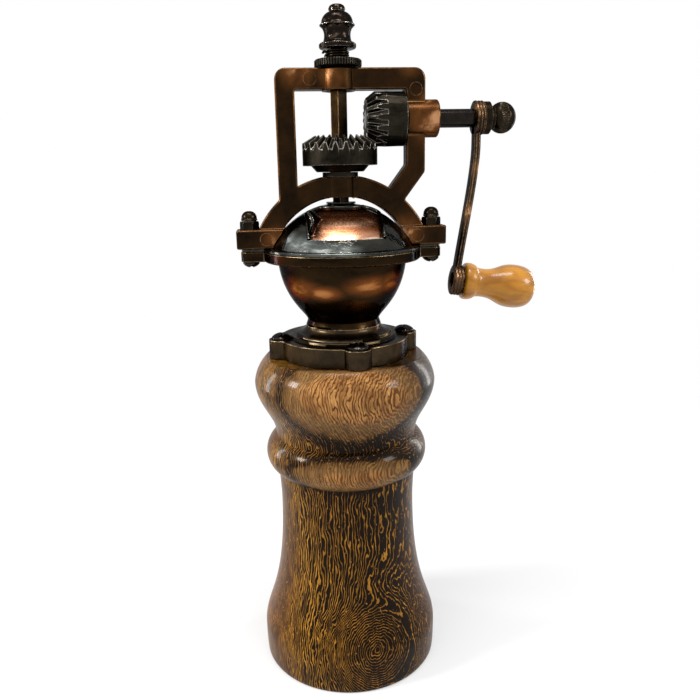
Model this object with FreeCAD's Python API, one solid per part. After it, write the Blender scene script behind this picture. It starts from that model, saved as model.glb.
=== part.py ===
"""Hand cranked seed mill: turned wooden body, seed bowl under a domed lid, open bevel gears in a yoke.

Millimetres, +Z up. The origin is on the mill's axis, in the plane that the body stands on.
The crank turns about +X, the crown gear and its spindle about +Z. The front of the mill faces -Y.
"""
import FreeCAD, Part
import math
import os

Vector = FreeCAD.Vector

# ---- clearances -------------------------------------------------------------------------------
RUNNING_GAP = 0.05          # radial, a shaft or spindle in its bush
SEAT_GAP = 0.02             # radial, pieces of one assembly that are pressed or screwed together
END_GAP = 0.1               # axial, between faces that turn past each other
SHEET_GAP = 0.3             # between the lid and the door that slides under it

# ---- wooden body ------------------------------------------------------------------------------
BODY_HEIGHT = 112.0
BASE_RADIUS = 31.0
BASE_EDGE = 0.8
BELLY_RADIUS = 31.35
BELLY_Z = 10.5
WAIST_RADIUS = 23.5
NECKING_LENGTH = 11.3       # from the bead's foot down to the waist
BEAD_RADIUS = 28.0
BEAD_DROP = 34.0            # top of the body to the middle of the bead
BEAD_HALF_HEIGHT = 6.7
BEAD_FOOT_RADIUS = 24.0
GROOVE_RADIUS = 24.4
SHOULDER_RADIUS = 30.95
SHOULDER_DROP = 8.4         # top of the body to its widest turn
TOP_LAND_MARGIN = 1.0       # flat top outside the flange's lobes
STORE_RADIUS = 13.5         # bore that holds the seeds
RECESS_LEDGE = 5.5          # width of the ledge that the fixed burr seats on
RECESS_DEPTH = 7.0

# ---- mounting flange --------------------------------------------------------------------------
FLANGE_RADIUS = 21.9
FLANGE_RIM_HEIGHT = 6.4
FLANGE_HEIGHT = 10.5
LOBE_COUNT = 4
LOBE_RADIUS = 4.4
LOBE_INSET = 0.7            # lobes' centres inside the flange's edge
LOBE_TURN = -84.0           # degrees from +X to the first lobe
COVE_WIDTH = 3.55
STEP_TREAD = 1.5
STEP_HEIGHT = 0.9
STEP_DRAFT = 0.4            # foot of the step outside its top
COVE_DRAFT = 0.3
COVE_START = 1.2            # level part of the cove outside the neck
COVE_END = 1.0              # upright part of the cove under the bowl
SCREW_RADIUS = 1.5
SCREW_LENGTH = 14.0
SCREW_HEAD_RADIUS = 3.4
SCREW_HEAD_HEIGHT = 2.0
CROSS_WIDTH = 0.8
CROSS_LENGTH = 3.8
CROSS_DEPTH = 1.0

# ---- seed bowl --------------------------------------------------------------------------------
BOWL_HEIGHT = 25.1
BOWL_WALL = 1.8
BOWL_RADIUS = 21.3          # under the rim
BOWL_RIM_WIDTH = 4.6
BOWL_RIM_THICKNESS = 3.3
NECK_BORE_RADIUS = 9.2
SPIGOT_WALL = 1.4
SPIGOT_LENGTH = 6.0
NECK_WALL = 2.05            # flange round the spigot
THROAT_TAPER = 0.6
BOWL_SWELL = 1.1            # width that the bowl gains below its rim
RIM_CHAMFER = 0.4
EAR_BOLT_OFFSET = 4.1       # ear bolts outside the rim
BOWL_LUG_RADIUS = 3.2

# ---- domed lid and its door -------------------------------------------------------------------
DOME_RISE = 14.0            # above the top of the lid's flange
DOME_BRIM = 2.65            # flat brim outside the dome
DOME_SHEET = 0.8
DOME_FLANGE_THICKNESS = 1.0
DOME_LUG_RADIUS = 3.0
WINDOW_INNER_RADIUS = 8.1
WINDOW_MARGIN = 2.35        # window's lower edge inside the dome's foot
WINDOW_HALF_WIDTH = 11.8
WINDOW_BACK = 4.2           # front of the axis to the back ends of the window's sides
DOOR_SHEET = 0.7
DOOR_MARGIN = 1.45          # door's rim inside the dome's foot
DOOR_HUB_RADIUS = 7.0       # disc round the eyelet
DOOR_HALF_ANGLE = 63.0
TAB_ANGLE = 36.0            # from the front, where the closed door's tab stands
TAB_SHEET = 0.9
TAB_LENGTH = 7.0            # along the dome
TAB_REACH = 5.2             # out from the door
TAB_POLAR = 39.0            # degrees from the top of the dome to the middle of the tab
EYELET_WALL = 0.65
EYELET_LIP = 1.4            # width of its flanges
EYELET_SHEET = 0.5
EYELET_FIT = 0.1            # radial, door on the eyelet

# ---- yoke -------------------------------------------------------------------------------------
YOKE_THICKNESS = 6.1
ARCH_GAP = 1.9              # above the top of the dome
ARCH_LAP = 1.15             # foot of the arch inside the dome's foot
ARCH_WIDTH = 6.9
EAR_HEIGHT = 6.1
EAR_DEPTH = 9.2
EAR_MARGIN = 4.3            # ear outside its bolt
EAR_CORNER_RADIUS = 1.0
BOSS_STAND = 0.3            # bosses stand this far out of the casting
BAR_WIDTH = 6.1
TOP_BAR_HEIGHT = 6.4
CORNER_RADIUS = 3.4
LEFT_BAR_GAP = 1.95         # crown gear to bar
PINION_BAR_GAP = 0.4
ELBOW_Z_DROP = 16.5         # crank axis to the elbow of the right bar, outside
ELBOW_RISE = 2.3            # how much higher the elbow's inside is
ELBOW_LEAN = 37.0           # degrees that the leg below the elbow leans inwards
TOP_BOSS_WALL = 1.45
HUB_BOSS_WALL = 0.9
HUB_BOSS_DROP = 0.2         # below the arch's inner edge
SPOTFACE_MARGIN = 0.65      # round the hub bush's flange
SPOTFACE_DEPTH = 0.7
CRANK_BOSS_WALL = 1.7
CRANK_BOSS_LENGTH = 10.5
EJECTOR_MARK_RADIUS = 2.0
EJECTOR_MARK_DEPTH = 0.2
EJECTOR_MARK_INSET = 4.8    # inside the left bar
BOLT_RADIUS = 1.5
BOLT_HEAD_RADIUS = 2.7
BOLT_HEAD_HEIGHT = 1.9
NUT_FLATS = 5.5
NUT_HEX_HEIGHT = 2.6
NUT_DOME_HEIGHT = 3.3
BUSH_FLANGE_LIP = 0.9       # wider than the hub boss
BUSH_FLANGE_THICKNESS = 1.5

# ---- bevel gears ------------------------------------------------------------------------------
MODULE = 1.0
CROWN_TEETH = 23
PINION_TEETH = 16
PRESSURE_ANGLE = 20.0
BACKLASH = 0.30             # along the pitch circle, shared by both gears
CROWN_ADDENDUM = 0.95
PINION_ADDENDUM = 0.50
TIP_CLEARANCE = 0.22
CROWN_INNER_RADIUS = 8.05
CROWN_HUB_RADIUS = 7.6
CROWN_STEP_RADIUS = 9.4
CROWN_CONE_HEIGHT = 2.0
MOUNT_DISTANCE = 16.1       # crank axis to the crown gear's underside
CROWN_RECESS = 7.4          # crank axis to the floor inside the ring of teeth
JOURNAL_WALL = 0.613        # outside the corners of its square hole
PINION_START_X = 8.4
PINION_LENGTH = 12.4

# ---- spindle, adjusting nut and finial --------------------------------------------------------
SPINDLE_FLATS = 3.7
SPINDLE_CORNER_CUT = 0.016  # off each corner of the square
SPINDLE_TURN = 35.0         # how the square stands at rest, in degrees
SQUARE_GAP = 0.05           # each side, spindle in a square hole
THREAD_STEP = 0.05          # thread inside the square's flats
BUSH_WALL = 1.2
NUT_RADIUS = 7.44
NUT_HEIGHT = 3.1
NUT_RIBS = 54
RIB_DEPTH = 0.32
NUT_CHAMFER = 0.5
SPRING_GAP = 2.45           # finial above the adjusting nut
SPRING_RADIUS = 2.75
SPRING_WIRE = 0.75
SPRING_TURNS = 1.5
FINIAL_FLANGE_RADIUS = 5.8
FINIAL_WAIST_RADIUS = 4.0
FINIAL_RIDGE_RADIUS = 5.45
FINIAL_NUB_RADIUS = 1.5
FINIAL_HEIGHT = 12.9
FINIAL_FLANGE_HEIGHT = 1.6
FINIAL_WAIST_HEIGHT = 4.4
FINIAL_RIDGE_HEIGHT = 6.9
FINIAL_NUB_HEIGHT = 1.0

# ---- crank ------------------------------------------------------------------------------------
SHAFT_RADIUS = 2.9
SHAFT_REACH = 12.0          # crank boss to arm
TENON_FLATS = 4.0
EYE_RADIUS = 5.35
EYE_THICKNESS = 3.0
ARM_WIDTH = 5.2
ARM_THICKNESS = 1.8
CRANK_THROW = 52.4
ARM_SET_BACK = 6.3          # lower end of the arm, towards the mill
ARM_FOOT_STEP = 0.9         # arm's near side behind the lower eye's near face
ARM_TOP_STRAIGHT = 7.0      # straight strip below the upper eye
ARM_FOOT_STRAIGHT = 3.0     # straight strip above the lower eye
ARM_LAP = 2.5               # strip above the crank's axis
TENON_CUT = 0.2             # off the tenon's corners and end
LOWER_EYE_RADIUS = 5.2
LOWER_EYE_THICKNESS = 3.1
BALL_RADIUS = 4.95
BALL_HALF_LENGTH = 4.5
BALL_COLLAR_RADIUS = 5.1
BALL_COLLAR_LENGTH = 2.0
BALL_NECK_RADIUS = 3.7
BALL_NECK_LENGTH = 0.3

# ---- grip -------------------------------------------------------------------------------------
GRIP_CANT = 8.2             # degrees that the grip droops outwards
GRIP_LENGTH = 24.6
GRIP_COLLAR_RADIUS = 6.2
GRIP_CREASE_RADIUS = 5.3
GRIP_NECK_RADIUS = 4.8
GRIP_BELLY_RADIUS = 7.4
GRIP_WASHER_THICKNESS = 0.5
GRIP_WASHER_RADIUS = 4.4
AXLE_RADIUS = 1.7
AXLE_HEAD_RADIUS = 2.4
AXLE_HEAD_HEIGHT = 1.0
AXLE_RECESS_DEPTH = 1.6
GRIP_NUT_RADIUS = 2.6
GRIP_NUT_HEIGHT = 1.8
GRIP_NUT_SINK = 0.7         # nut below the grip's end
GRIP_NUT_ROOM = 0.4         # radial, round the nut
AXLE_SLOT_WIDTH = 0.8
AXLE_SLOT_DEPTH = 0.5

# ---- burrs and the bearings below -------------------------------------------------------------
GUIDE_ARMS = 3
GUIDE_ARM_WIDTH = 1.8
GUIDE_RING_WALL = 1.4
GUIDE_HUB_WALL = 1.8
FLANGE_LIP_HEIGHT = 0.6
BRIDGE_THICKNESS = 1.6
BRIDGE_WIDTH = 6.4
BRIDGE_SCREW_WALL = 0.5     # between the store and the bridge's screws
BRIDGE_END = 2.2            # bar outside its screws
BRIDGE_HUB_RADIUS = 4.6
STATOR_FLANGE_THICKNESS = 2.0
STATOR_SLEEVE_HEIGHT = 14.0
STATOR_TOP_RADIUS = 7.4
STATOR_FOOT_RADIUS = 11.2
STATOR_GROOVES = 24
STATOR_GROOVE_WIDTH = 1.8
STATOR_GROOVE_DEPTH = 0.6
STATOR_GROOVE_MOUTH = 1.0   # groove's cutter inside the cone's face
STATOR_MOUTH_WIDTH = 2.5    # funnel above the cone
STATOR_MOUTH_DEPTH = 2.0
ROTOR_HEIGHT = 11.0
BURR_GAP = 0.8
ROTOR_GROOVES = 10
ROTOR_GROOVE_HALF_WIDTH = 1.6
ROTOR_GROOVE_DEPTH = 2.4
ROTOR_GROOVE_LEAN = -22.0   # degrees
ROTOR_NUT_HEIGHT = 2.4
ROTOR_WASHER_THICKNESS = 0.8
ROTOR_WASHER_RADIUS = 4.6
BURR_SCREW_RADIUS = 1.4
BURR_SCREW_LENGTH = 16.0
BURR_SCREW_HEAD_RADIUS = 2.6
BURR_SCREW_HEAD_HEIGHT = 1.4
ROTOR_NUT_RISE = 1.3        # above the bridge
SPINDLE_TAIL = 1.0          # below the bridge

# ---- levels and places that follow from the sizes ---------------------------------------------
shoulder_z = BODY_HEIGHT - SHOULDER_DROP
bead_z = BODY_HEIGHT - BEAD_DROP
bead_foot_z = bead_z - BEAD_HALF_HEIGHT
waist_z = bead_foot_z - NECKING_LENGTH
recess_radius = STORE_RADIUS + RECESS_LEDGE
lobe_circle = FLANGE_RADIUS - LOBE_INSET
top_land_radius = lobe_circle + LOBE_RADIUS + TOP_LAND_MARGIN
spigot_radius = NECK_BORE_RADIUS + SPIGOT_WALL
neck_radius = spigot_radius + NECK_WALL
throat_radius = neck_radius - THROAT_TAPER
bowl_rim_radius = BOWL_RADIUS + BOWL_RIM_WIDTH
ear_bolt_x = bowl_rim_radius + EAR_BOLT_OFFSET
ear_tip_x = ear_bolt_x + EAR_MARGIN
flange_seat_z = BODY_HEIGHT
flange_rim_z = flange_seat_z + FLANGE_RIM_HEIGHT
bowl_seat_z = flange_seat_z + FLANGE_HEIGHT
bowl_top_z = bowl_seat_z + BOWL_HEIGHT
bowl_rim_z = bowl_top_z - BOWL_RIM_THICKNESS
ear_seat_z = bowl_top_z + DOME_FLANGE_THICKNESS
dome_foot_radius = bowl_rim_radius - DOME_BRIM
dome_radius = (dome_foot_radius ** 2 + DOME_RISE ** 2) / (2 * DOME_RISE)
dome_top_z = ear_seat_z + DOME_RISE
dome_centre_z = dome_top_z - dome_radius
door_rim_radius = dome_foot_radius - DOOR_MARGIN
window_outer_radius = dome_foot_radius - WINDOW_MARGIN
ear_top_z = ear_seat_z + EAR_HEIGHT
arch_rise = DOME_RISE + ARCH_GAP
arch_inner_radius = ((dome_foot_radius - ARCH_LAP) ** 2 + arch_rise ** 2) / (2 * arch_rise)
arch_outer_radius = arch_inner_radius + ARCH_WIDTH
arch_centre_z = ear_seat_z + arch_rise - arch_inner_radius
hub_boss_foot_z = arch_centre_z + arch_inner_radius - HUB_BOSS_DROP
hub_seat_z = arch_centre_z + arch_outer_radius - SPOTFACE_DEPTH
crown_foot_z = hub_seat_z + BUSH_FLANGE_THICKNESS + END_GAP
crank_z = crown_foot_z + MOUNT_DISTANCE

crown_pitch_radius = MODULE * CROWN_TEETH / 2
pinion_pitch_radius = MODULE * PINION_TEETH / 2
cone_distance = math.hypot(crown_pitch_radius, pinion_pitch_radius)
crown_pitch_angle = math.atan2(crown_pitch_radius, pinion_pitch_radius)
pinion_pitch_angle = math.pi / 2 - crown_pitch_angle
crown_tip_angle = crown_pitch_angle + math.atan2(CROWN_ADDENDUM, cone_distance)
pinion_tip_angle = pinion_pitch_angle + math.atan2(PINION_ADDENDUM, cone_distance)
crown_radius = crown_pitch_radius + CROWN_ADDENDUM * math.cos(crown_pitch_angle)
pinion_radius = pinion_pitch_radius + PINION_ADDENDUM * math.cos(pinion_pitch_angle)
crown_dedendum = PINION_ADDENDUM + TIP_CLEARANCE
pinion_dedendum = CROWN_ADDENDUM + TIP_CLEARANCE

pinion_end_x = PINION_START_X + PINION_LENGTH
right_bar_x = pinion_end_x + PINION_BAR_GAP
yoke_right_x = right_bar_x + BAR_WIDTH
boss_end_x = right_bar_x + CRANK_BOSS_LENGTH
arm_x = boss_end_x + SHAFT_REACH
arm_end_x = arm_x + EYE_THICKNESS
left_bar_x = -(crown_radius + LEFT_BAR_GAP)
yoke_left_x = left_bar_x - BAR_WIDTH
top_bar_z = crank_z + pinion_radius + PINION_BAR_GAP
yoke_top_z = top_bar_z + TOP_BAR_HEIGHT
nut_foot_z = yoke_top_z + END_GAP
nut_top_z = nut_foot_z + NUT_HEIGHT
finial_foot_z = nut_top_z + SPRING_GAP
finial_top_z = finial_foot_z + FINIAL_HEIGHT

thread_radius = SPINDLE_FLATS / 2 - THREAD_STEP
spindle_radius = SPINDLE_FLATS / math.sqrt(2) - SPINDLE_CORNER_CUT
journal_radius = (SPINDLE_FLATS / 2 + SQUARE_GAP) * math.sqrt(2) + JOURNAL_WALL
spindle_bore = spindle_radius + RUNNING_GAP
eyelet_radius = spindle_bore + END_GAP + EYELET_WALL
eyelet_flange = eyelet_radius + EYELET_LIP
dome_hole_radius = eyelet_radius + 2 * EYELET_FIT
bush_radius = spindle_bore + BUSH_WALL
hub_bush_bore = journal_radius + RUNNING_GAP
crank_bush_bore = SHAFT_RADIUS + RUNNING_GAP
crank_bush_radius = crank_bush_bore + BUSH_WALL
hub_bush_radius = hub_bush_bore + BUSH_WALL / 2
top_boss_radius = bush_radius + TOP_BOSS_WALL
hub_boss_radius = hub_bush_radius + HUB_BOSS_WALL
crank_boss_radius = crank_bush_radius + CRANK_BOSS_WALL
bush_flange_radius = hub_boss_radius + BUSH_FLANGE_LIP
spotface_radius = bush_flange_radius + SPOTFACE_MARGIN

bridge_screw_x = STORE_RADIUS + BURR_SCREW_RADIUS + BRIDGE_SCREW_WALL
bridge_half_length = bridge_screw_x + BRIDGE_END
bridge_seat_z = RECESS_DEPTH - STATOR_FLANGE_THICKNESS
bridge_foot_z = bridge_seat_z - BRIDGE_THICKNESS
rotor_nut_foot_z = bridge_seat_z + ROTOR_NUT_RISE
rotor_washer_z = rotor_nut_foot_z + ROTOR_NUT_HEIGHT
rotor_foot_z = rotor_washer_z + ROTOR_WASHER_THICKNESS
rotor_top_z = rotor_foot_z + ROTOR_HEIGHT
stator_top_z = RECESS_DEPTH + STATOR_SLEEVE_HEIGHT
spindle_foot_z = bridge_foot_z - SPINDLE_TAIL

ORIGIN = Vector(0, 0, 0)
X_AXIS = Vector(1, 0, 0)
Y_AXIS = Vector(0, 1, 0)
Z_AXIS = Vector(0, 0, 1)


# ---- shared shapes ----------------------------------------------------------------------------
def edges_through(*points):
    """Straight edges through (radius, height) points in the XZ plane."""
    places = [Vector(r, 0, z) for r, z in points]
    return [Part.LineSegment(a, b).toShape() for a, b in zip(places, places[1:])]


def curve(*poles):
    """One Bezier edge with these (radius, height) poles."""
    bezier = Part.BezierCurve()
    bezier.setPoles([Vector(r, 0, z) for r, z in poles])
    return [bezier.toShape()]


def round_edge(start, middle, end):
    """One circular edge through three (radius, height) points."""
    return [Part.Arc(*[Vector(r, 0, z) for r, z in (start, middle, end)]).toShape()]


def turned(edges):
    """Solid of revolution about Z, from a closed outline in the XZ plane."""
    outline = Part.Wire(Part.__sortEdges__(edges))
    return Part.Face(outline).revolve(ORIGIN, Z_AXIS, 360)


def turned_straight(*points):
    """Solid of revolution with straight outlines."""
    return turned(edges_through(*points, points[0]))


def rod(radius, start, end, x=0, y=0):
    """Upright cylinder between two heights."""
    return Part.makeCylinder(radius, end - start, Vector(x, y, start))


def rod_x(radius, start, end):
    """Cylinder on the crank's axis, between two places along X."""
    return Part.makeCylinder(radius, end - start, Vector(start, 0, crank_z), X_AXIS)


def ring(outer, inner, start, end):
    """Upright tube between two heights."""
    return rod(outer, start, end).cut(rod(inner, start, end))


def block(x0, x1, y0, y1, z0, z1):
    """Box between two corners."""
    return Part.makeBox(x1 - x0, y1 - y0, z1 - z0, Vector(x0, y0, z0))


def prism(sides, flats, start, end, turn=0, x=0, y=0):
    """Upright prism with a regular outline, measured across its flats."""
    reach = flats / 2 / math.cos(math.pi / sides)
    corners = []
    for index in range(sides + 1):
        angle = math.radians(turn) + (index + 0.5) * 2 * math.pi / sides
        corners.append(Vector(x + reach * math.cos(angle), y + reach * math.sin(angle), start))
    return Part.Face(Part.makePolygon(corners)).extrude(Vector(0, 0, end - start))


def plate(points, thickness):
    """Plate in the XZ plane, centred on Y = 0, from its corners."""
    corners = [Vector(x, -thickness / 2, z) for x, z in points]
    corners.append(corners[0])
    return Part.Face(Part.makePolygon(corners)).extrude(Vector(0, thickness, 0))


def about_z(shape, angle):
    """Copy of a shape, turned about the mill's axis."""
    copy = shape.copy()
    copy.rotate(ORIGIN, Z_AXIS, angle)
    return copy


def around(shape, count, first=0.0):
    """Copies of a shape, evenly spaced about the mill's axis."""
    return [about_z(shape, first + index * 360 / count) for index in range(count)]


def cross_recess(top_z, x=0, y=0):
    """Cutter for a screw head's cross."""
    half, wide = CROSS_LENGTH / 2, CROSS_WIDTH / 2
    floor_z = top_z - CROSS_DEPTH
    bar = block(x - half, x + half, y - wide, y + wide, floor_z, top_z + CROSS_DEPTH)
    return bar.fuse(block(x - wide, x + wide, y - half, y + half, floor_z, top_z + CROSS_DEPTH))


def square_hole(flats, start, end):
    """Cutter for the square hole that the spindle passes through."""
    return prism(4, flats + 2 * SQUARE_GAP, start, end, SPINDLE_TURN)


# ---- wooden body, flange and bowl -------------------------------------------------------------
def wood_body():
    belly_span = waist_z - BELLY_Z
    bead_foot = (BEAD_FOOT_RADIUS, bead_foot_z)
    groove = (GROOVE_RADIUS, bead_z + BEAD_HALF_HEIGHT)
    groove_span = shoulder_z - groove[1]
    shoulder_middle = (
        top_land_radius + 0.68 * (SHOULDER_RADIUS - top_land_radius),
        shoulder_z + 0.56 * (BODY_HEIGHT - shoulder_z),
    )
    edges = edges_through((0, 0), (BASE_RADIUS - BASE_EDGE, 0), (BASE_RADIUS, BASE_EDGE))
    edges += edges_through((BASE_RADIUS, BASE_EDGE), (BELLY_RADIUS, BELLY_Z))
    edges += curve(
        (BELLY_RADIUS, BELLY_Z),
        (BELLY_RADIUS, BELLY_Z + 0.17 * belly_span),
        (WAIST_RADIUS, waist_z - 0.73 * belly_span),
        (WAIST_RADIUS, waist_z),
    )
    edges += edges_through((WAIST_RADIUS, waist_z), bead_foot)
    edges += round_edge(bead_foot, (BEAD_RADIUS, bead_z), groove)
    edges += curve(
        groove,
        (GROOVE_RADIUS, groove[1] + 0.37 * groove_span),
        (SHOULDER_RADIUS, shoulder_z - 0.42 * groove_span),
        (SHOULDER_RADIUS, shoulder_z),
    )
    edges += round_edge(
        (SHOULDER_RADIUS, shoulder_z), shoulder_middle, (top_land_radius, BODY_HEIGHT)
    )
    edges += edges_through((top_land_radius, BODY_HEIGHT), (0, BODY_HEIGHT), (0, 0))
    body = turned(edges)
    pilot_foot_z = flange_rim_z - SCREW_LENGTH
    pilots = around(
        rod(SCREW_RADIUS + SEAT_GAP, pilot_foot_z, BODY_HEIGHT + 1, lobe_circle), LOBE_COUNT, LOBE_TURN
    )
    screw_top_z = bridge_foot_z + BURR_SCREW_LENGTH
    for side in (-1, 1):
        pilots.append(rod(BURR_SCREW_RADIUS + SEAT_GAP, 0, screw_top_z, side * bridge_screw_x))
    hollows = [rod(STORE_RADIUS, -1, BODY_HEIGHT + 1), rod(recess_radius, -1, RECESS_DEPTH)]
    return body.cut(hollows + pilots)


def mounting_flange():
    bore = spigot_radius + SEAT_GAP
    step_2 = neck_radius + COVE_WIDTH
    step_1 = step_2 + STEP_TREAD
    step_z = flange_rim_z + STEP_HEIGHT
    cove_z = step_z + STEP_HEIGHT
    edges = edges_through(
        (NECK_BORE_RADIUS, flange_seat_z),
        (FLANGE_RADIUS, flange_seat_z),
        (FLANGE_RADIUS, flange_rim_z),
        (step_1 + STEP_DRAFT, flange_rim_z),
        (step_1, step_z),
        (step_2, step_z),
        (step_2 - COVE_DRAFT, cove_z),
    )
    edges += curve(
        (step_2 - COVE_DRAFT, cove_z),
        (neck_radius + COVE_START, cove_z),
        (neck_radius, bowl_seat_z - COVE_END),
        (neck_radius, bowl_seat_z),
    )
    edges += edges_through(
        (neck_radius, bowl_seat_z),
        (bore, bowl_seat_z),
        (bore, flange_seat_z + FLANGE_LIP_HEIGHT),
        (NECK_BORE_RADIUS, flange_seat_z + FLANGE_LIP_HEIGHT),
        (NECK_BORE_RADIUS, flange_seat_z),
    )
    disc = turned(edges)
    lobe = rod(LOBE_RADIUS, flange_seat_z, flange_rim_z, lobe_circle)
    lobe = lobe.cut(rod(step_1 + STEP_DRAFT, flange_seat_z, flange_rim_z))
    hole = rod(SCREW_RADIUS + SEAT_GAP, flange_seat_z, flange_rim_z, lobe_circle)
    seat = rod(SCREW_HEAD_RADIUS + SEAT_GAP, flange_rim_z, bowl_seat_z, lobe_circle)
    disc = disc.fuse(around(lobe, LOBE_COUNT, LOBE_TURN))
    cutters = around(hole.fuse(seat), LOBE_COUNT, LOBE_TURN)
    return disc.cut(cutters).removeSplitter()


def screw(radius, length, head_radius, head_height, seat_z, x, point_up=False):
    """Round head screw on a vertical line; its head is above the seat, or below it if it points up."""
    sense = -1 if point_up else 1
    crown_z = seat_z + sense * head_height
    edge_z = seat_z + sense * 0.35 * head_height
    edges = edges_through((0, seat_z), (head_radius, seat_z), (head_radius, edge_z))
    edges += round_edge(
        (head_radius, edge_z), (0.62 * head_radius, seat_z + sense * 0.82 * head_height), (0, crown_z)
    )
    edges += edges_through((0, crown_z), (0, seat_z))
    head = turned(edges)
    tip_z = seat_z - sense * length
    shank = rod(radius, min(seat_z, tip_z), max(seat_z, tip_z))
    body = head.fuse(shank).cut(cross_recess(crown_z)).removeSplitter()
    body.translate(Vector(x, 0, 0))
    return body


def flange_screws():
    one = screw(
        SCREW_RADIUS, SCREW_LENGTH, SCREW_HEAD_RADIUS, SCREW_HEAD_HEIGHT, flange_rim_z, lobe_circle
    )
    return around(one, LOBE_COUNT, LOBE_TURN)


def lugs(radius, start, end, hole):
    """Pair of round lugs that carry the ear bolts, and the holes through them."""
    arms, holes = [], []
    for side in (-1, 1):
        near, far = sorted((side * (BOWL_RADIUS - 0.5), side * ear_bolt_x))
        arms.append(block(near, far, -radius, radius, start, end))
        arms.append(rod(radius, start, end, side * ear_bolt_x))
        holes.append(rod(hole, start, end, side * ear_bolt_x))
    return arms, holes


def bowl_curve(wall):
    """Outer or inner curve of the bowl, from its throat up to its rim."""
    rise = bowl_top_z - bowl_seat_z
    return curve(
        (throat_radius - wall, bowl_seat_z + 0.07 * rise),
        (throat_radius - wall, bowl_seat_z + 0.16 * rise),
        (BOWL_RADIUS - BOWL_SWELL - wall, bowl_seat_z + 0.34 * rise),
        (BOWL_RADIUS - wall, bowl_rim_z),
    )


def hopper_bowl():
    throat_z = bowl_seat_z + 0.07 * (bowl_top_z - bowl_seat_z)
    foot_z = bowl_seat_z - SPIGOT_LENGTH
    edges = bowl_curve(0)
    edges += edges_through(
        (BOWL_RADIUS, bowl_rim_z),
        (bowl_rim_radius - RIM_CHAMFER, bowl_rim_z),
        (bowl_rim_radius, bowl_rim_z + RIM_CHAMFER),
        (bowl_rim_radius, bowl_top_z),
        (BOWL_RADIUS - BOWL_WALL, bowl_top_z),
        (BOWL_RADIUS - BOWL_WALL, bowl_rim_z),
    )
    edges += bowl_curve(BOWL_WALL)
    edges += edges_through(
        (throat_radius - BOWL_WALL, throat_z),
        (NECK_BORE_RADIUS, throat_z),
        (NECK_BORE_RADIUS, foot_z),
        (spigot_radius, foot_z),
        (spigot_radius, bowl_seat_z),
        (neck_radius, bowl_seat_z),
        (throat_radius, throat_z),
    )
    bowl = turned(edges)
    arms, holes = lugs(BOWL_LUG_RADIUS, bowl_rim_z, bowl_top_z, BOLT_RADIUS + SEAT_GAP)
    return bowl.fuse(arms).cut(holes).removeSplitter()


# ---- lid, door and eyelet ---------------------------------------------------------------------
def cap(outer, inner):
    """Spherical shell about the dome's centre."""
    centre = Vector(0, 0, dome_centre_z)
    return Part.makeSphere(outer, centre).cut(Part.makeSphere(inner, centre))


def window_cutter():
    """Upright prism: a ring stretch at the front, between two straight sides."""
    band = ring(window_outer_radius, WINDOW_INNER_RADIUS, ear_seat_z, dome_top_z + 1)
    half = WINDOW_HALF_WIDTH
    front = block(-half, half, -dome_radius, -WINDOW_BACK, ear_seat_z, dome_top_z + 1)
    return band.common(front)


def hopper_dome():
    shell = cap(dome_radius, dome_radius - DOME_SHEET)
    shell = shell.common(rod(dome_radius, bowl_top_z, dome_top_z + 1))
    mouth = math.sqrt((dome_radius - DOME_SHEET) ** 2 - (bowl_top_z - dome_centre_z) ** 2)
    arms, holes = lugs(DOME_LUG_RADIUS, bowl_top_z, ear_seat_z, BOLT_RADIUS + SEAT_GAP)
    brim = ring(bowl_rim_radius, mouth, bowl_top_z, ear_seat_z).fuse(arms)
    brim = brim.cut(rod(mouth, bowl_top_z, ear_seat_z))
    lid = shell.fuse(brim).cut(holes)
    lid = lid.cut([window_cutter(), rod(dome_hole_radius, ear_seat_z, dome_top_z + 1)])
    return lid.removeSplitter()


def dome_door():
    outer = dome_radius - DOME_SHEET - SHEET_GAP
    inner = outer - DOOR_SHEET
    shell = cap(outer, inner)
    foot_z = dome_centre_z + math.sqrt(outer ** 2 - door_rim_radius ** 2)
    first = -90 - DOOR_HALF_ANGLE
    sector = Part.makeCylinder(
        dome_radius, dome_radius, Vector(0, 0, foot_z), Z_AXIS, 2 * DOOR_HALF_ANGLE
    )
    sector = about_z(sector, first)
    hub = rod(DOOR_HUB_RADIUS, ear_seat_z, dome_top_z)
    leaf = shell.common(sector.fuse(hub))
    polar = math.radians(TAB_POLAR)
    start = inner + DOOR_SHEET / 2
    length = DOOR_SHEET / 2 + TAB_REACH
    tab = block(0, length, -TAB_SHEET / 2, TAB_SHEET / 2, -TAB_LENGTH / 2, TAB_LENGTH / 2)
    tab = tab.makeFillet(TAB_LENGTH * 0.3, [edge for edge in tab.Edges if outer_end(edge, length)])
    tab.translate(Vector(start, 0, 0))
    tab.rotate(ORIGIN, Y_AXIS, -math.degrees(math.pi / 2 - polar))
    tab.translate(Vector(0, 0, dome_centre_z))
    tab = about_z(tab, -90 - TAB_ANGLE)
    leaf = leaf.fuse(tab)
    return leaf.cut(rod(eyelet_radius + EYELET_FIT, ear_seat_z, dome_top_z + 1)).removeSplitter()


def outer_end(edge, length):
    """True for the short edges at a plate's far end."""
    box = edge.BoundBox
    return box.XMin > length - 0.01 and box.YLength > 0.01


def dome_eyelet():
    hole_edge_z = dome_centre_z + math.sqrt(dome_radius ** 2 - dome_hole_radius ** 2)
    door_inner = dome_radius - DOME_SHEET - SHEET_GAP - DOOR_SHEET
    lower_z = dome_centre_z + math.sqrt(door_inner ** 2 - eyelet_flange ** 2) - END_GAP
    bore = spindle_bore + END_GAP
    top_z = hole_edge_z + EYELET_SHEET
    tube = ring(eyelet_radius, bore, lower_z - EYELET_SHEET, top_z)
    top = ring(eyelet_flange, bore, hole_edge_z, top_z)
    foot = ring(eyelet_flange, bore, lower_z - EYELET_SHEET, lower_z)
    return tube.fuse([top, foot]).removeSplitter()


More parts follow.
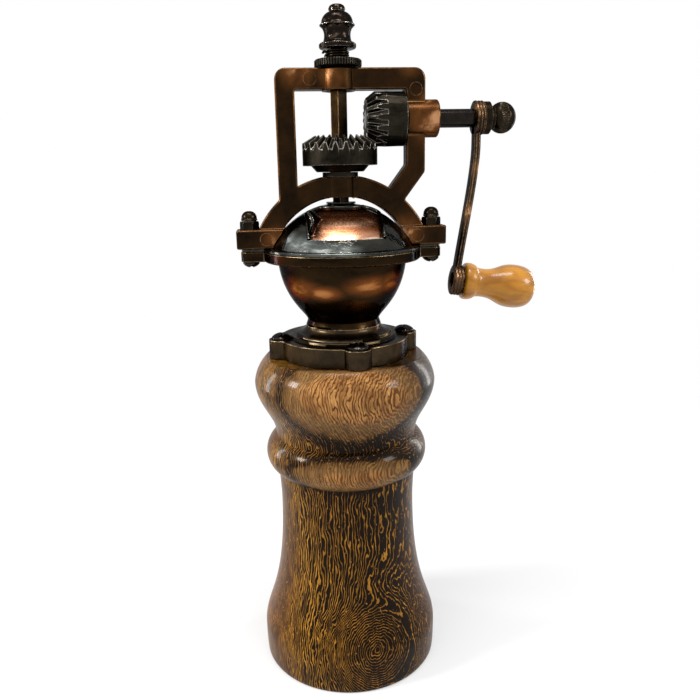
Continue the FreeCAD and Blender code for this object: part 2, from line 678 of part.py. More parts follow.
# ---- yoke and what fastens it -----------------------------------------------------------------
def yoke_frame():
    half = YOKE_THICKNESS / 2
    arch = Part.makeCylinder(arch_outer_radius, YOKE_THICKNESS, Vector(0, -half, arch_centre_z), Y_AXIS)
    arch = arch.common(block(-ear_tip_x, ear_tip_x, -half, half, ear_seat_z, hub_seat_z + SPOTFACE_DEPTH))
    lean = math.radians(ELBOW_LEAN)
    leg = crank_z - ELBOW_Z_DROP - arch_centre_z - 0.62 * arch_inner_radius
    elbow_z = crank_z - ELBOW_Z_DROP
    run = leg * math.tan(lean)
    right_bar = plate(
        (
            (right_bar_x, yoke_top_z),
            (yoke_right_x, yoke_top_z),
            (yoke_right_x, elbow_z),
            (yoke_right_x - run, elbow_z - leg),
            (right_bar_x - run, elbow_z + ELBOW_RISE - leg),
            (right_bar_x, elbow_z + ELBOW_RISE),
        ),
        YOKE_THICKNESS,
    )
    left_foot_z = arch_centre_z + math.sqrt(arch_inner_radius ** 2 - left_bar_x ** 2) + 1
    left_bar = block(yoke_left_x, left_bar_x, -half, half, left_foot_z, yoke_top_z)
    top_bar = block(yoke_left_x, yoke_right_x, -half, half, top_bar_z, yoke_top_z)
    frame = arch.fuse([right_bar, left_bar, top_bar]).removeSplitter()
    corners = []
    for edge in frame.Edges:
        box = edge.BoundBox
        at_end = min(abs(box.XMin - yoke_left_x), abs(box.XMin - yoke_right_x)) < 0.01
        if at_end and box.ZMin > yoke_top_z - 0.01 and box.XLength < 0.01:
            corners.append(edge)
    frame = frame.makeFillet(CORNER_RADIUS, corners)
    ears = []
    for side in (-1, 1):
        near, far = sorted((side * 0.8 * arch_inner_radius, side * ear_tip_x))
        ear = block(near, far, -EAR_DEPTH / 2, EAR_DEPTH / 2, ear_seat_z, ear_top_z)
        tips = [edge for edge in ear.Edges if is_upright_at(edge, side * ear_tip_x)]
        ears.append(ear.makeFillet(EAR_CORNER_RADIUS, tips))
    bosses = [
        rod(top_boss_radius, top_bar_z - BOSS_STAND, yoke_top_z),
        rod(hub_boss_radius, hub_boss_foot_z, hub_seat_z),
        rod_x(crank_boss_radius, right_bar_x, boss_end_x),
    ]
    frame = frame.fuse(ears + bosses)
    inside = Part.makeCylinder(
        arch_inner_radius, EAR_DEPTH, Vector(0, -EAR_DEPTH / 2, arch_centre_z), Y_AXIS
    )
    inside = inside.cut(rod(hub_boss_radius, hub_boss_foot_z, hub_seat_z))
    spotface = ring(2 * spotface_radius, 0.1, hub_seat_z, hub_seat_z + SPOTFACE_DEPTH + 0.1)
    spotface = spotface.common(rod(spotface_radius, hub_seat_z, hub_seat_z + SPOTFACE_DEPTH + 0.1))
    spotface = spotface.fuse(rod(0.2, hub_seat_z, hub_seat_z + SPOTFACE_DEPTH + 0.1))
    cutters = [
        inside,
        spotface,
        Part.makeSphere(dome_radius + SHEET_GAP, Vector(0, 0, dome_centre_z)),
        rod(bush_radius + SEAT_GAP, top_bar_z - 1, yoke_top_z + 1),
        rod(hub_bush_radius + SEAT_GAP, hub_boss_foot_z - 1, hub_seat_z + 1),
        rod_x(crank_bush_radius + SEAT_GAP, right_bar_x - 1, boss_end_x + 1),
    ]
    for side in (-1, 1):
        cutters.append(rod(BOLT_RADIUS + SEAT_GAP, ear_seat_z - 1, ear_top_z + 1, side * ear_bolt_x))
    cutters += ejector_marks()
    return frame.cut(cutters).removeSplitter()


def is_upright_at(edge, x):
    """True for a vertical edge at this X."""
    box = edge.BoundBox
    return abs(box.XMin - x) < 0.01 and abs(box.XMax - x) < 0.01 and box.ZLength > box.YLength


def ejector_marks():
    """Shallow round marks on the front faces of the casting."""
    bar_face = -YOKE_THICKNESS / 2
    ear_face = -EAR_DEPTH / 2
    top_z = top_bar_z + TOP_BAR_HEIGHT / 2
    ear_z = (ear_seat_z + ear_top_z) / 2
    ear_x = (arch_inner_radius + ear_bolt_x) / 2 - 2
    marks = []
    places = (
        (left_bar_x + EJECTOR_MARK_INSET, bar_face, top_z),
        ((right_bar_x + yoke_right_x) / 2, bar_face, top_bar_z),
        (-ear_x, ear_face, ear_z),
        (ear_x, ear_face, ear_z),
    )
    for x, face_y, z in places:
        start = Vector(x, face_y - 0.1, z)
        marks.append(
            Part.makeCylinder(EJECTOR_MARK_RADIUS, EJECTOR_MARK_DEPTH + 0.1, start, Y_AXIS)
        )
    return marks


def yoke_bolts():
    length = ear_top_z + NUT_HEX_HEIGHT + 0.4 * NUT_DOME_HEIGHT - bowl_rim_z
    head = (BOLT_HEAD_RADIUS, BOLT_HEAD_HEIGHT)
    return [
        screw(BOLT_RADIUS, length, *head, bowl_rim_z, side * ear_bolt_x, True) for side in (-1, 1)
    ]


def acorn_nuts():
    hex_top_z = ear_top_z + NUT_HEX_HEIGHT
    round_radius = NUT_FLATS / 2 - 0.1
    edges = edges_through((0, hex_top_z), (round_radius, hex_top_z))
    edges += curve(
        (round_radius, hex_top_z),
        (round_radius, hex_top_z + 0.75 * NUT_DOME_HEIGHT),
        (0.6 * round_radius, hex_top_z + NUT_DOME_HEIGHT),
        (0, hex_top_z + NUT_DOME_HEIGHT),
    )
    edges += edges_through((0, hex_top_z + NUT_DOME_HEIGHT), (0, hex_top_z))
    crown = turned(edges)
    hole = rod(BOLT_RADIUS + SEAT_GAP, ear_top_z, hex_top_z + 0.5 * NUT_DOME_HEIGHT)
    nut = prism(6, NUT_FLATS, ear_top_z, hex_top_z).fuse(crown).cut(hole).removeSplitter()
    nuts = []
    for side in (-1, 1):
        copy = nut.copy()
        copy.translate(Vector(side * ear_bolt_x, 0, 0))
        nuts.append(copy)
    return nuts


def top_bush():
    return ring(bush_radius, spindle_bore, top_bar_z - BOSS_STAND, yoke_top_z)


def hub_bush():
    sleeve = ring(hub_bush_radius, hub_bush_bore, hub_boss_foot_z, hub_seat_z)
    flange = ring(bush_flange_radius, hub_bush_bore, hub_seat_z, hub_seat_z + BUSH_FLANGE_THICKNESS)
    return sleeve.fuse(flange).removeSplitter()


def crank_bush():
    return rod_x(crank_bush_radius, right_bar_x, boss_end_x).cut(
        rod_x(crank_bush_bore, right_bar_x, boss_end_x)
    )


# ---- bevel gears ------------------------------------------------------------------------------
def involute(angle):
    return math.tan(angle) - angle


def tooth_gap(teeth, pitch_angle, addendum, dedendum):
    """Pyramid from the gears' common point through the space between two teeth.

    The gear lies along +Z from that point. Its flanks are involutes on the back cone, and every
    face of the pyramid runs through the common point, as the faces of a straight bevel gear do.
    """
    pitch_radius = MODULE * teeth / 2
    back_radius = pitch_radius / math.cos(pitch_angle)
    back_teeth = teeth / math.cos(pitch_angle)
    base_radius = back_radius * math.cos(math.radians(PRESSURE_ANGLE))
    thickness = math.pi * MODULE / 2 - BACKLASH / 2
    pitch_half = thickness / 2 / back_radius
    flank = []
    for height in (-dedendum, -0.45 * dedendum, 0, 0.5 * addendum, addendum, addendum + 0.6):
        radius = back_radius + height
        swing = involute(math.acos(min(1, base_radius / radius)))
        half = pitch_half + involute(math.radians(PRESSURE_ANGLE)) - swing
        angle = math.pi / back_teeth - half
        flank.append((radius * math.sin(angle), radius * math.cos(angle) - back_radius))
    outline = flank + [(-across, out) for across, out in reversed(flank)]
    stretch = 1.35
    corners = []
    for across, out in outline:
        radial = pitch_radius + out * math.cos(pitch_angle)
        axial = pitch_radius / math.tan(pitch_angle) - out * math.sin(pitch_angle)
        corners.append(Vector(radial * stretch, across * stretch, axial * stretch))
    faces = []
    closed = corners + corners[:1]
    for first, second in zip(closed, closed[1:]):
        faces.append(Part.Face(Part.makePolygon([ORIGIN, first, second, ORIGIN])))
    faces.append(Part.Face(Part.makePolygon(closed)))
    return Part.Solid(Part.Shell(faces))


def crown_gear():
    """Built down from the common point of the gears, then turned over on to its axis."""
    inner_z = CROWN_INNER_RADIUS / math.tan(crown_tip_angle)
    outer_z = crown_radius / math.tan(crown_tip_angle)
    step_z = MOUNT_DISTANCE - CROWN_CONE_HEIGHT
    journal_end = crank_z - hub_boss_foot_z - 0.3
    bore = SPINDLE_FLATS * 0.3
    blank = turned_straight(
        (bore, CROWN_RECESS),
        (CROWN_INNER_RADIUS - 0.5, CROWN_RECESS),
        (CROWN_INNER_RADIUS, inner_z),
        (crown_radius, outer_z),
        (crown_radius, step_z),
        (CROWN_STEP_RADIUS, step_z),
        (CROWN_HUB_RADIUS, MOUNT_DISTANCE),
        (journal_radius, MOUNT_DISTANCE),
        (journal_radius, journal_end),
        (bore, journal_end),
    )
    gap = tooth_gap(CROWN_TEETH, crown_pitch_angle, CROWN_ADDENDUM, crown_dedendum)
    gear = blank.cut(around(gap, CROWN_TEETH))
    gear.rotate(ORIGIN, X_AXIS, 180)
    gear.translate(Vector(0, 0, crank_z))
    return gear.cut(square_hole(SPINDLE_FLATS, hub_boss_foot_z, crank_z))


def pinion_gear():
    """Built along +Z from the common point of the gears, then laid along the crank's axis."""
    blank = turned_straight(
        (0, PINION_START_X),
        (PINION_START_X * math.tan(pinion_tip_angle), PINION_START_X),
        (pinion_radius, pinion_radius / math.tan(pinion_tip_angle)),
        (pinion_radius, pinion_end_x),
        (0, pinion_end_x),
    )
    gap = tooth_gap(PINION_TEETH, pinion_pitch_angle, PINION_ADDENDUM, pinion_dedendum)
    gear = blank.cut(around(gap, PINION_TEETH, 180 / PINION_TEETH))
    gear = gear.cut(rod(SHAFT_RADIUS + SEAT_GAP, PINION_START_X - 1, pinion_end_x + 1))
    gear.rotate(ORIGIN, Y_AXIS, 90)
    gear.translate(Vector(0, 0, crank_z))
    return gear


# ---- spindle and its adjustment ---------------------------------------------------------------
def square_spindle():
    square = prism(4, SPINDLE_FLATS, rotor_foot_z, yoke_top_z - 1, SPINDLE_TURN)
    square = square.common(rod(spindle_radius, rotor_foot_z, yoke_top_z - 1))
    lower = rod(thread_radius, spindle_foot_z, rotor_foot_z)
    upper = rod(thread_radius, yoke_top_z - 1, finial_foot_z + 0.55 * FINIAL_HEIGHT)
    return square.fuse([lower, upper]).removeSplitter()


def adjusting_nut():
    corners = []
    for index in range(2 * NUT_RIBS + 1):
        reach = NUT_RADIUS if index % 2 else NUT_RADIUS - RIB_DEPTH
        angle = math.pi * index / NUT_RIBS
        corners.append(Vector(reach * math.cos(angle), reach * math.sin(angle), nut_foot_z))
    knurled = Part.Face(Part.makePolygon(corners)).extrude(Vector(0, 0, NUT_HEIGHT))
    envelope = turned_straight(
        (0, nut_foot_z),
        (NUT_RADIUS, nut_foot_z),
        (NUT_RADIUS, nut_top_z - NUT_CHAMFER),
        (NUT_RADIUS - NUT_CHAMFER, nut_top_z),
        (0, nut_top_z),
    )
    bore = rod(thread_radius + RUNNING_GAP, nut_foot_z - 1, nut_top_z + 1)
    return knurled.common(envelope).cut(bore)


def finial_spring():
    wire_radius = SPRING_WIRE / 2
    height = SPRING_GAP - SPRING_WIRE - END_GAP
    helix = Part.makeHelix(height / SPRING_TURNS, height, SPRING_RADIUS)
    section = Part.Wire(Part.makeCircle(wire_radius, Vector(SPRING_RADIUS, 0, 0), Y_AXIS))
    spring = Part.Wire(helix).makePipeShell([section], True, True)
    spring.translate(Vector(0, 0, nut_top_z + wire_radius + END_GAP / 2))
    return spring


def spindle_finial():
    base = finial_foot_z
    flange_z = base + FINIAL_FLANGE_HEIGHT
    waist_z = base + FINIAL_WAIST_HEIGHT
    ridge_z = base + FINIAL_RIDGE_HEIGHT
    nub_z = finial_top_z - FINIAL_NUB_HEIGHT
    edges = edges_through(
        (0, base),
        (0.62 * FINIAL_FLANGE_RADIUS, base),
        (FINIAL_FLANGE_RADIUS - 0.3, base + 0.4),
        (FINIAL_FLANGE_RADIUS, base + 1.0),
        (FINIAL_FLANGE_RADIUS - 0.1, flange_z),
    )
    edges += curve(
        (FINIAL_FLANGE_RADIUS - 0.1, flange_z),
        (FINIAL_WAIST_RADIUS + 0.3, flange_z + 0.6),
        (FINIAL_WAIST_RADIUS, waist_z - 0.8),
        (FINIAL_WAIST_RADIUS, waist_z),
    )
    edges += edges_through((FINIAL_WAIST_RADIUS, waist_z), (FINIAL_RIDGE_RADIUS, ridge_z))
    edges += curve(
        (FINIAL_RIDGE_RADIUS, ridge_z),
        (FINIAL_RIDGE_RADIUS - 0.3, ridge_z + 2.6),
        (FINIAL_NUB_RADIUS + 1.8, nub_z),
        (FINIAL_NUB_RADIUS, nub_z),
    )
    edges += curve(
        (FINIAL_NUB_RADIUS, nub_z),
        (FINIAL_NUB_RADIUS, finial_top_z - 0.3),
        (0.6 * FINIAL_NUB_RADIUS, finial_top_z),
        (0, finial_top_z),
    )
    edges += edges_through((0, finial_top_z), (0, base))
    bore = rod(thread_radius + SEAT_GAP, base - 1, base + 0.57 * FINIAL_HEIGHT)
    return turned(edges).cut(bore)


# ---- crank ------------------------------------------------------------------------------------
def crank_tenon(flats, start, end):
    """Square end of the crank's shaft, or its hole in the arm."""
    half = flats / 2
    return block(start, end, -half, half, crank_z - half, crank_z + half)


def crank_shaft():
    shaft = rod_x(SHAFT_RADIUS, PINION_START_X, arm_x)
    tenon = crank_tenon(TENON_FLATS, arm_x, arm_end_x - TENON_CUT)
    tenon = tenon.common(rod_x(SHAFT_RADIUS - TENON_CUT, arm_x, arm_end_x))
    thread = rod_x(thread_radius, arm_end_x - TENON_CUT, ball_centre_x)
    return shaft.fuse([tenon, thread]).removeSplitter()


ball_centre_x = arm_end_x + BALL_COLLAR_LENGTH + BALL_NECK_LENGTH + 0.92 * BALL_HALF_LENGTH
lower_eye_x = arm_x - ARM_SET_BACK
lower_eye_z = crank_z - CRANK_THROW


def grip_frame(shape):
    """Moves a piece from the Z axis on to the grip's axis, from the lower eye outwards."""
    copy = shape.copy()
    copy.rotate(ORIGIN, Y_AXIS, 90 + GRIP_CANT)
    copy.translate(Vector(lower_eye_x, 0, lower_eye_z))
    return copy


def crank_arm():
    upper_z = crank_z - EYE_RADIUS - ARM_TOP_STRAIGHT
    lower_z = lower_eye_z + LOWER_EYE_RADIUS + ARM_FOOT_STRAIGHT
    reach = (upper_z - lower_z) / 2
    sides = []
    for offset in (0, ARM_THICKNESS):
        top_x = arm_x + offset
        foot_x = top_x - ARM_SET_BACK + ARM_FOOT_STEP
        side = Part.BezierCurve()
        side.setPoles([
            Vector(top_x, 0, upper_z),
            Vector(top_x, 0, upper_z - reach),
            Vector(foot_x, 0, lower_z + reach),
            Vector(foot_x, 0, lower_z),
        ])
        sides.append((side, top_x, foot_x))
    (near, near_top, near_foot), (far, far_top, far_foot) = sides
    outline = [near.toShape(), far.toShape()]
    outline += edges_through(
        (near_top, upper_z), (near_top, crank_z - ARM_LAP), (far_top, crank_z - ARM_LAP), (far_top, upper_z)
    )
    outline += edges_through(
        (near_foot, lower_z), (near_foot, lower_eye_z), (far_foot, lower_eye_z), (far_foot, lower_z)
    )
    strip = Part.Face(Part.Wire(Part.__sortEdges__(outline)))
    strip.translate(Vector(0, -ARM_WIDTH / 2, 0))
    arm = strip.extrude(Vector(0, ARM_WIDTH, 0))
    upper_eye = rod_x(EYE_RADIUS, arm_x, arm_end_x)
    lower_eye = grip_frame(rod(LOWER_EYE_RADIUS, 0, LOWER_EYE_THICKNESS))
    bore = grip_frame(rod(AXLE_RADIUS + SEAT_GAP, -5, LOWER_EYE_THICKNESS + 5))
    recess = grip_frame(rod(AXLE_HEAD_RADIUS + 0.2, -5, AXLE_RECESS_DEPTH))
    beyond = grip_frame(rod(2 * LOWER_EYE_RADIUS, LOWER_EYE_THICKNESS, LOWER_EYE_THICKNESS + 5))
    before = grip_frame(rod(LOWER_EYE_RADIUS, -5, 0))
    tenon_hole = crank_tenon(TENON_FLATS + 2 * SEAT_GAP, arm_x - 1, arm_end_x + 1)
    arm = arm.fuse([upper_eye, lower_eye])
    return arm.cut([bore, recess, beyond, before, tenon_hole]).removeSplitter()


def ball_nut():
    """Turned nut with a knurled collar and a slightly flattened ball, built along Z."""
    collar = prism(32, 2 * BALL_COLLAR_RADIUS, 0, BALL_COLLAR_LENGTH)
    neck_end = BALL_COLLAR_LENGTH + BALL_NECK_LENGTH
    neck = rod(BALL_NECK_RADIUS, BALL_COLLAR_LENGTH, neck_end + 1)
    centre = ball_centre_x - arm_end_x
    edges = curve(
        (0, centre + BALL_HALF_LENGTH),
        (0.56 * BALL_RADIUS, centre + BALL_HALF_LENGTH),
        (BALL_RADIUS, centre + 0.56 * BALL_HALF_LENGTH),
        (BALL_RADIUS, centre),
    )
    edges += curve(
        (BALL_RADIUS, centre),
        (BALL_RADIUS, centre - 0.56 * BALL_HALF_LENGTH),
        (0.56 * BALL_RADIUS, centre - BALL_HALF_LENGTH),
        (0, centre - BALL_HALF_LENGTH),
    )
    edges += edges_through((0, centre - BALL_HALF_LENGTH), (0, centre + BALL_HALF_LENGTH))
    nut = collar.fuse([neck, turned(edges)])
    nut = nut.cut(rod(thread_radius + SEAT_GAP, -1, centre + 0.2)).removeSplitter()
    nut.rotate(ORIGIN, Y_AXIS, 90)
    nut.translate(Vector(arm_end_x, 0, crank_z))
    return nut


def grip_axle():
    seat = AXLE_RECESS_DEPTH
    head = rod(AXLE_HEAD_RADIUS, seat - AXLE_HEAD_HEIGHT, seat)
    shank = rod(AXLE_RADIUS, seat, grip_nut_seat + GRIP_NUT_HEIGHT)
    half, floor = AXLE_SLOT_WIDTH / 2, seat - AXLE_HEAD_HEIGHT + AXLE_SLOT_DEPTH
    slot = block(-half, half, -AXLE_HEAD_RADIUS, AXLE_HEAD_RADIUS, seat - AXLE_HEAD_HEIGHT, floor)
    return grip_frame(head.fuse(shank).removeSplitter().cut(slot))


grip_start = LOWER_EYE_THICKNESS + GRIP_WASHER_THICKNESS + END_GAP
grip_end = grip_start + GRIP_LENGTH
grip_recess_depth = GRIP_NUT_HEIGHT + GRIP_NUT_SINK
grip_nut_seat = grip_end - grip_recess_depth + END_GAP


def grip_washer():
    return grip_frame(
        ring(GRIP_WASHER_RADIUS, AXLE_RADIUS + SEAT_GAP, LOWER_EYE_THICKNESS, grip_start - END_GAP)
    )


def grip_nut():
    return grip_frame(
        ring(GRIP_NUT_RADIUS, AXLE_RADIUS + SEAT_GAP, grip_nut_seat, grip_nut_seat + GRIP_NUT_HEIGHT)
    )


def crank_grip():
    z = grip_start
    recess = GRIP_NUT_RADIUS + GRIP_NUT_ROOM
    crease = z + 0.17 * GRIP_LENGTH
    neck = z + 0.27 * GRIP_LENGTH
    belly = z + 0.72 * GRIP_LENGTH
    edges = edges_through((0, z), (GRIP_COLLAR_RADIUS - 0.8, z))
    edges += curve(
        (GRIP_COLLAR_RADIUS - 0.8, z),
        (GRIP_COLLAR_RADIUS + 0.5, z),
        (GRIP_COLLAR_RADIUS + 0.2, crease - 0.8),
        (GRIP_CREASE_RADIUS, crease),
    )
    edges += curve(
        (GRIP_CREASE_RADIUS, crease), (GRIP_NECK_RADIUS, crease + 0.8), (GRIP_NECK_RADIUS, neck)
    )
    edges += curve(
        (GRIP_NECK_RADIUS, neck),
        (GRIP_NECK_RADIUS, neck + 0.5 * (belly - neck)),
        (GRIP_BELLY_RADIUS, belly - 0.5 * (belly - neck)),
        (GRIP_BELLY_RADIUS, belly),
    )
    edges += curve(
        (GRIP_BELLY_RADIUS, belly),
        (GRIP_BELLY_RADIUS, belly + 0.6 * (grip_end - belly)),
        (recess + 2.9, grip_end),
        (recess + 0.3, grip_end),
    )
    edges += edges_through((recess + 0.3, grip_end), (0, grip_end), (0, z))
    grip = turned(edges)
    bore = rod(AXLE_RADIUS + 2 * RUNNING_GAP, z - 1, grip_end + 1)
    counterbore = rod(recess, grip_end - grip_recess_depth, grip_end + 1)
    return grip_frame(grip.cut([bore, counterbore]))


# ---- burrs and lower bearings -----------------------------------------------------------------
def shaft_guide():
    """Three armed bearing that is trapped between the flange's lip and the bowl's spigot."""
    foot_z = flange_seat_z + FLANGE_LIP_HEIGHT
    top_z = bowl_seat_z - SPIGOT_LENGTH
    inner = spigot_radius - GUIDE_RING_WALL
    hub = spindle_bore + GUIDE_HUB_WALL
    arm = block(hub - 0.3, inner + 0.3, -GUIDE_ARM_WIDTH / 2, GUIDE_ARM_WIDTH / 2, foot_z, top_z)
    spider = ring(spigot_radius, inner, foot_z, top_z)
    spider = spider.fuse([ring(hub, spindle_bore, foot_z, top_z)] + around(arm, GUIDE_ARMS, 30))
    return spider.removeSplitter()


def burr_groove(radius, width, depth, start, end, twist):
    """Long V groove cutter along the mill's axis, leaning sideways by an angle."""
    middle_z = (start + end) / 2
    length = (end - start) * 1.6
    groove = Part.Face(
        Part.makePolygon([
            Vector(radius - depth, 0, -length / 2),
            Vector(radius + depth, -width, -length / 2),
            Vector(radius + depth, width, -length / 2),
            Vector(radius - depth, 0, -length / 2),
        ])
    ).extrude(Vector(0, 0, length))
    groove.rotate(Vector(radius, 0, 0), X_AXIS, twist)
    groove.translate(Vector(0, 0, middle_z))
    return groove


def stator_burr():
    wall = STORE_RADIUS - SEAT_GAP
    flange = recess_radius - SEAT_GAP
    ring_solid = turned_straight(
        (STATOR_FOOT_RADIUS, bridge_seat_z),
        (flange, bridge_seat_z),
        (flange, RECESS_DEPTH),
        (wall, RECESS_DEPTH),
        (wall, stator_top_z),
        (STATOR_TOP_RADIUS + STATOR_MOUTH_WIDTH, stator_top_z),
        (STATOR_TOP_RADIUS, stator_top_z - STATOR_MOUTH_DEPTH),
        (STATOR_FOOT_RADIUS, RECESS_DEPTH),
    )
    slope = math.degrees(math.atan2(STATOR_FOOT_RADIUS - STATOR_TOP_RADIUS, STATOR_SLEEVE_HEIGHT))
    mean = (STATOR_FOOT_RADIUS + STATOR_TOP_RADIUS) / 2
    middle_z = (RECESS_DEPTH + stator_top_z) / 2
    half = STATOR_GROOVE_WIDTH / 2
    reach = STATOR_SLEEVE_HEIGHT
    groove = Part.Face(
        Part.makePolygon([
            Vector(mean + STATOR_GROOVE_DEPTH, 0, -reach),
            Vector(mean - STATOR_GROOVE_MOUTH, -half, -reach),
            Vector(mean - STATOR_GROOVE_MOUTH, half, -reach),
            Vector(mean + STATOR_GROOVE_DEPTH, 0, -reach),
        ])
    ).extrude(Vector(0, 0, 2 * reach))
    groove.rotate(Vector(mean, 0, 0), Y_AXIS, -slope)
    groove.translate(Vector(0, 0, middle_z))
    holes = []
    for side in (-1, 1):
        holes.append(
            rod(BURR_SCREW_RADIUS + SEAT_GAP, 0, stator_top_z, side * bridge_screw_x)
        )
    return ring_solid.cut(around(groove, STATOR_GROOVES) + holes)


def rotor_burr():
    foot_radius = rotor_radius_at(rotor_foot_z)
    cone = turned_straight(
        (0, rotor_foot_z),
        (foot_radius, rotor_foot_z),
        (rotor_radius_at(rotor_top_z), rotor_top_z),
        (0, rotor_top_z),
    )
    groove = burr_groove(
        foot_radius * 0.86,
        ROTOR_GROOVE_HALF_WIDTH,
        ROTOR_GROOVE_DEPTH,
        rotor_foot_z,
        rotor_top_z,
        ROTOR_GROOVE_LEAN,
    )
    return cone.cut(around(groove, ROTOR_GROOVES)).cut(square_hole(SPINDLE_FLATS, rotor_foot_z - 1, rotor_top_z + 1))


def rotor_radius_at(z):
    """Radius of the rotor's cone, one burr gap inside the stator's cone."""
    rise = stator_top_z - STATOR_MOUTH_DEPTH - RECESS_DEPTH
    share = (z - RECESS_DEPTH) / rise
    stator_radius = STATOR_FOOT_RADIUS + share * (STATOR_TOP_RADIUS - STATOR_FOOT_RADIUS)
    return stator_radius - BURR_GAP


def rotor_washer():
    return ring(ROTOR_WASHER_RADIUS, thread_radius + SEAT_GAP, rotor_washer_z, rotor_foot_z)


def rotor_nut():
    nut = prism(6, NUT_FLATS, rotor_nut_foot_z, rotor_washer_z)
    return nut.cut(rod(thread_radius + SEAT_GAP, rotor_nut_foot_z, rotor_washer_z))


def bottom_bridge():
    """Flat bar under the burrs, with the spindle's lowest bearing in its middle."""
    bar = block(
        -bridge_half_length,
        bridge_half_length,
        -BRIDGE_WIDTH / 2,
        BRIDGE_WIDTH / 2,
        bridge_foot_z,
        bridge_seat_z,
    )
    bar = bar.common(rod(bridge_half_length, bridge_foot_z, bridge_seat_z))
    bar = bar.fuse(rod(BRIDGE_HUB_RADIUS, bridge_foot_z, bridge_seat_z))
    holes = [rod(thread_radius + RUNNING_GAP, bridge_foot_z - 1, bridge_seat_z + 1)]
    for side in (-1, 1):
        holes.append(
            rod(BURR_SCREW_RADIUS + SEAT_GAP, bridge_foot_z - 1, bridge_seat_z + 1, side * bridge_screw_x)
        )
    return bar.cut(holes).removeSplitter()


def bridge_screws():
    screws = []
    for side in (-1, 1):
        screws.append(
            screw(
                BURR_SCREW_RADIUS,
                BURR_SCREW_LENGTH,
                BURR_SCREW_HEAD_RADIUS,
                BURR_SCREW_HEAD_HEIGHT,
                bridge_foot_z,
                side * bridge_screw_x,
                True,
            )
        )
    return screws


PIECES = {
    "wood_body": wood_body,
    "mounting_flange": mounting_flange,
    "flange_screws": flange_screws,
    "shaft_guide": shaft_guide,
    "hopper_bowl": hopper_bowl,
    "hopper_dome": hopper_dome,
    "dome_eyelet": dome_eyelet,
    "dome_door": dome_door,
    "yoke_frame": yoke_frame,
    "yoke_bolts": yoke_bolts,
    "acorn_nuts": acorn_nuts,
    "top_bush": top_bush,
    "hub_bush": hub_bush,
    "crank_bush": crank_bush,
    "crown_gear": crown_gear,
    "pinion_gear": pinion_gear,
    "crank_shaft": crank_shaft,
    "crank_arm": crank_arm,
    "ball_nut": ball_nut,
    "grip_axle": grip_axle,
    "grip_washer": grip_washer,
    "grip_nut": grip_nut,
    "crank_grip": crank_grip,
    "square_spindle": square_spindle,
    "adjusting_nut": adjusting_nut,
    "finial_spring": finial_spring,
    "spindle_finial": spindle_finial,
    "stator_burr": stator_burr,
    "rotor_burr": rotor_burr,
    "rotor_washer": rotor_washer,
    "rotor_nut": rotor_nut,
    "bottom_bridge": bottom_bridge,
    "bridge_screws": bridge_screws,
}

os.makedirs("parts", exist_ok=True)
for name, make in PIECES.items():
    solid = make()
    if isinstance(solid, list):
        solid = Part.makeCompound(solid)
    solid.exportStep("parts/" + name + ".step")
    print(name, "solids", len(solid.Solids), "valid", solid.isValid(), "volume", round(solid.Volume, 1))
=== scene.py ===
import bpy, bmesh
import math
from mathutils import Matrix, Vector
from mathutils.geometry import interpolate_bezier


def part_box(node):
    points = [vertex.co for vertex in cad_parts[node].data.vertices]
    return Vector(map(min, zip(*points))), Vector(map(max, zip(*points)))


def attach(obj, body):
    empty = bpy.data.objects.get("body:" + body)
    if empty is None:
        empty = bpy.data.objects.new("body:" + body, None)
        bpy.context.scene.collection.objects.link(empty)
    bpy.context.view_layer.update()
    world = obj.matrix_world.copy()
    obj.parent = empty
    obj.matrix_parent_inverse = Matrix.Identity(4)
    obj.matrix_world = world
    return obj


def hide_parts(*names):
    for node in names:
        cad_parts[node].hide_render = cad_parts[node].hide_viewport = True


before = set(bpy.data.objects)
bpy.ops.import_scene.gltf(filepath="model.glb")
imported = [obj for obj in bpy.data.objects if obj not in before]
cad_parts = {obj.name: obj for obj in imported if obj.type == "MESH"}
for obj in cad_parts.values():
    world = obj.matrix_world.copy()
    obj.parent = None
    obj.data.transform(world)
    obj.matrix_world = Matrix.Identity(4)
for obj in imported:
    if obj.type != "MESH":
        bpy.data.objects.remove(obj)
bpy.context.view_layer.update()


# ---- wooden body ------------------------------------------------------------------------------
# One blank of lacquered wenge, bored through and turned between centres into a flared foot, a
# long waist, a bead, a groove and a wide shoulder. The fixed burr seats in the recess below.
def linear(colour):
    """Linear colour of an sRGB hex value."""
    parts = [int(colour[place:place + 2], 16) / 255 for place in (0, 2, 4)]
    return [c / 12.92 if c <= 0.04045 else ((c + 0.055) / 1.055) ** 2.4 for c in parts] + [1.0]


def add(tree, kind, inputs=None, **settings):
    """Adds one node. A node given as an input is linked by its first live output."""
    node = tree.nodes.new(kind)
    for key, value in settings.items():
        setattr(node, key, value)
    for key, value in (inputs or {}).items():
        if isinstance(value, bpy.types.Node):
            value = next(socket for socket in value.outputs if socket.enabled)
        if isinstance(value, bpy.types.NodeSocket):
            tree.links.new(value, node.inputs[key])
        else:
            node.inputs[key].default_value = value
    return node


def blank_material(name):
    """Empty material, its node tree, and the object's own coordinates in millimetres."""
    material = bpy.data.materials.new(name)
    material.use_nodes = True
    tree = material.node_tree
    tree.nodes.clear()
    place = add(tree, "ShaderNodeTexCoord").outputs["Object"]
    spot = add(tree, "ShaderNodeVectorMath", {0: place, 1: (1000, 1000, 1000)}, operation="MULTIPLY")
    return material, tree, spot


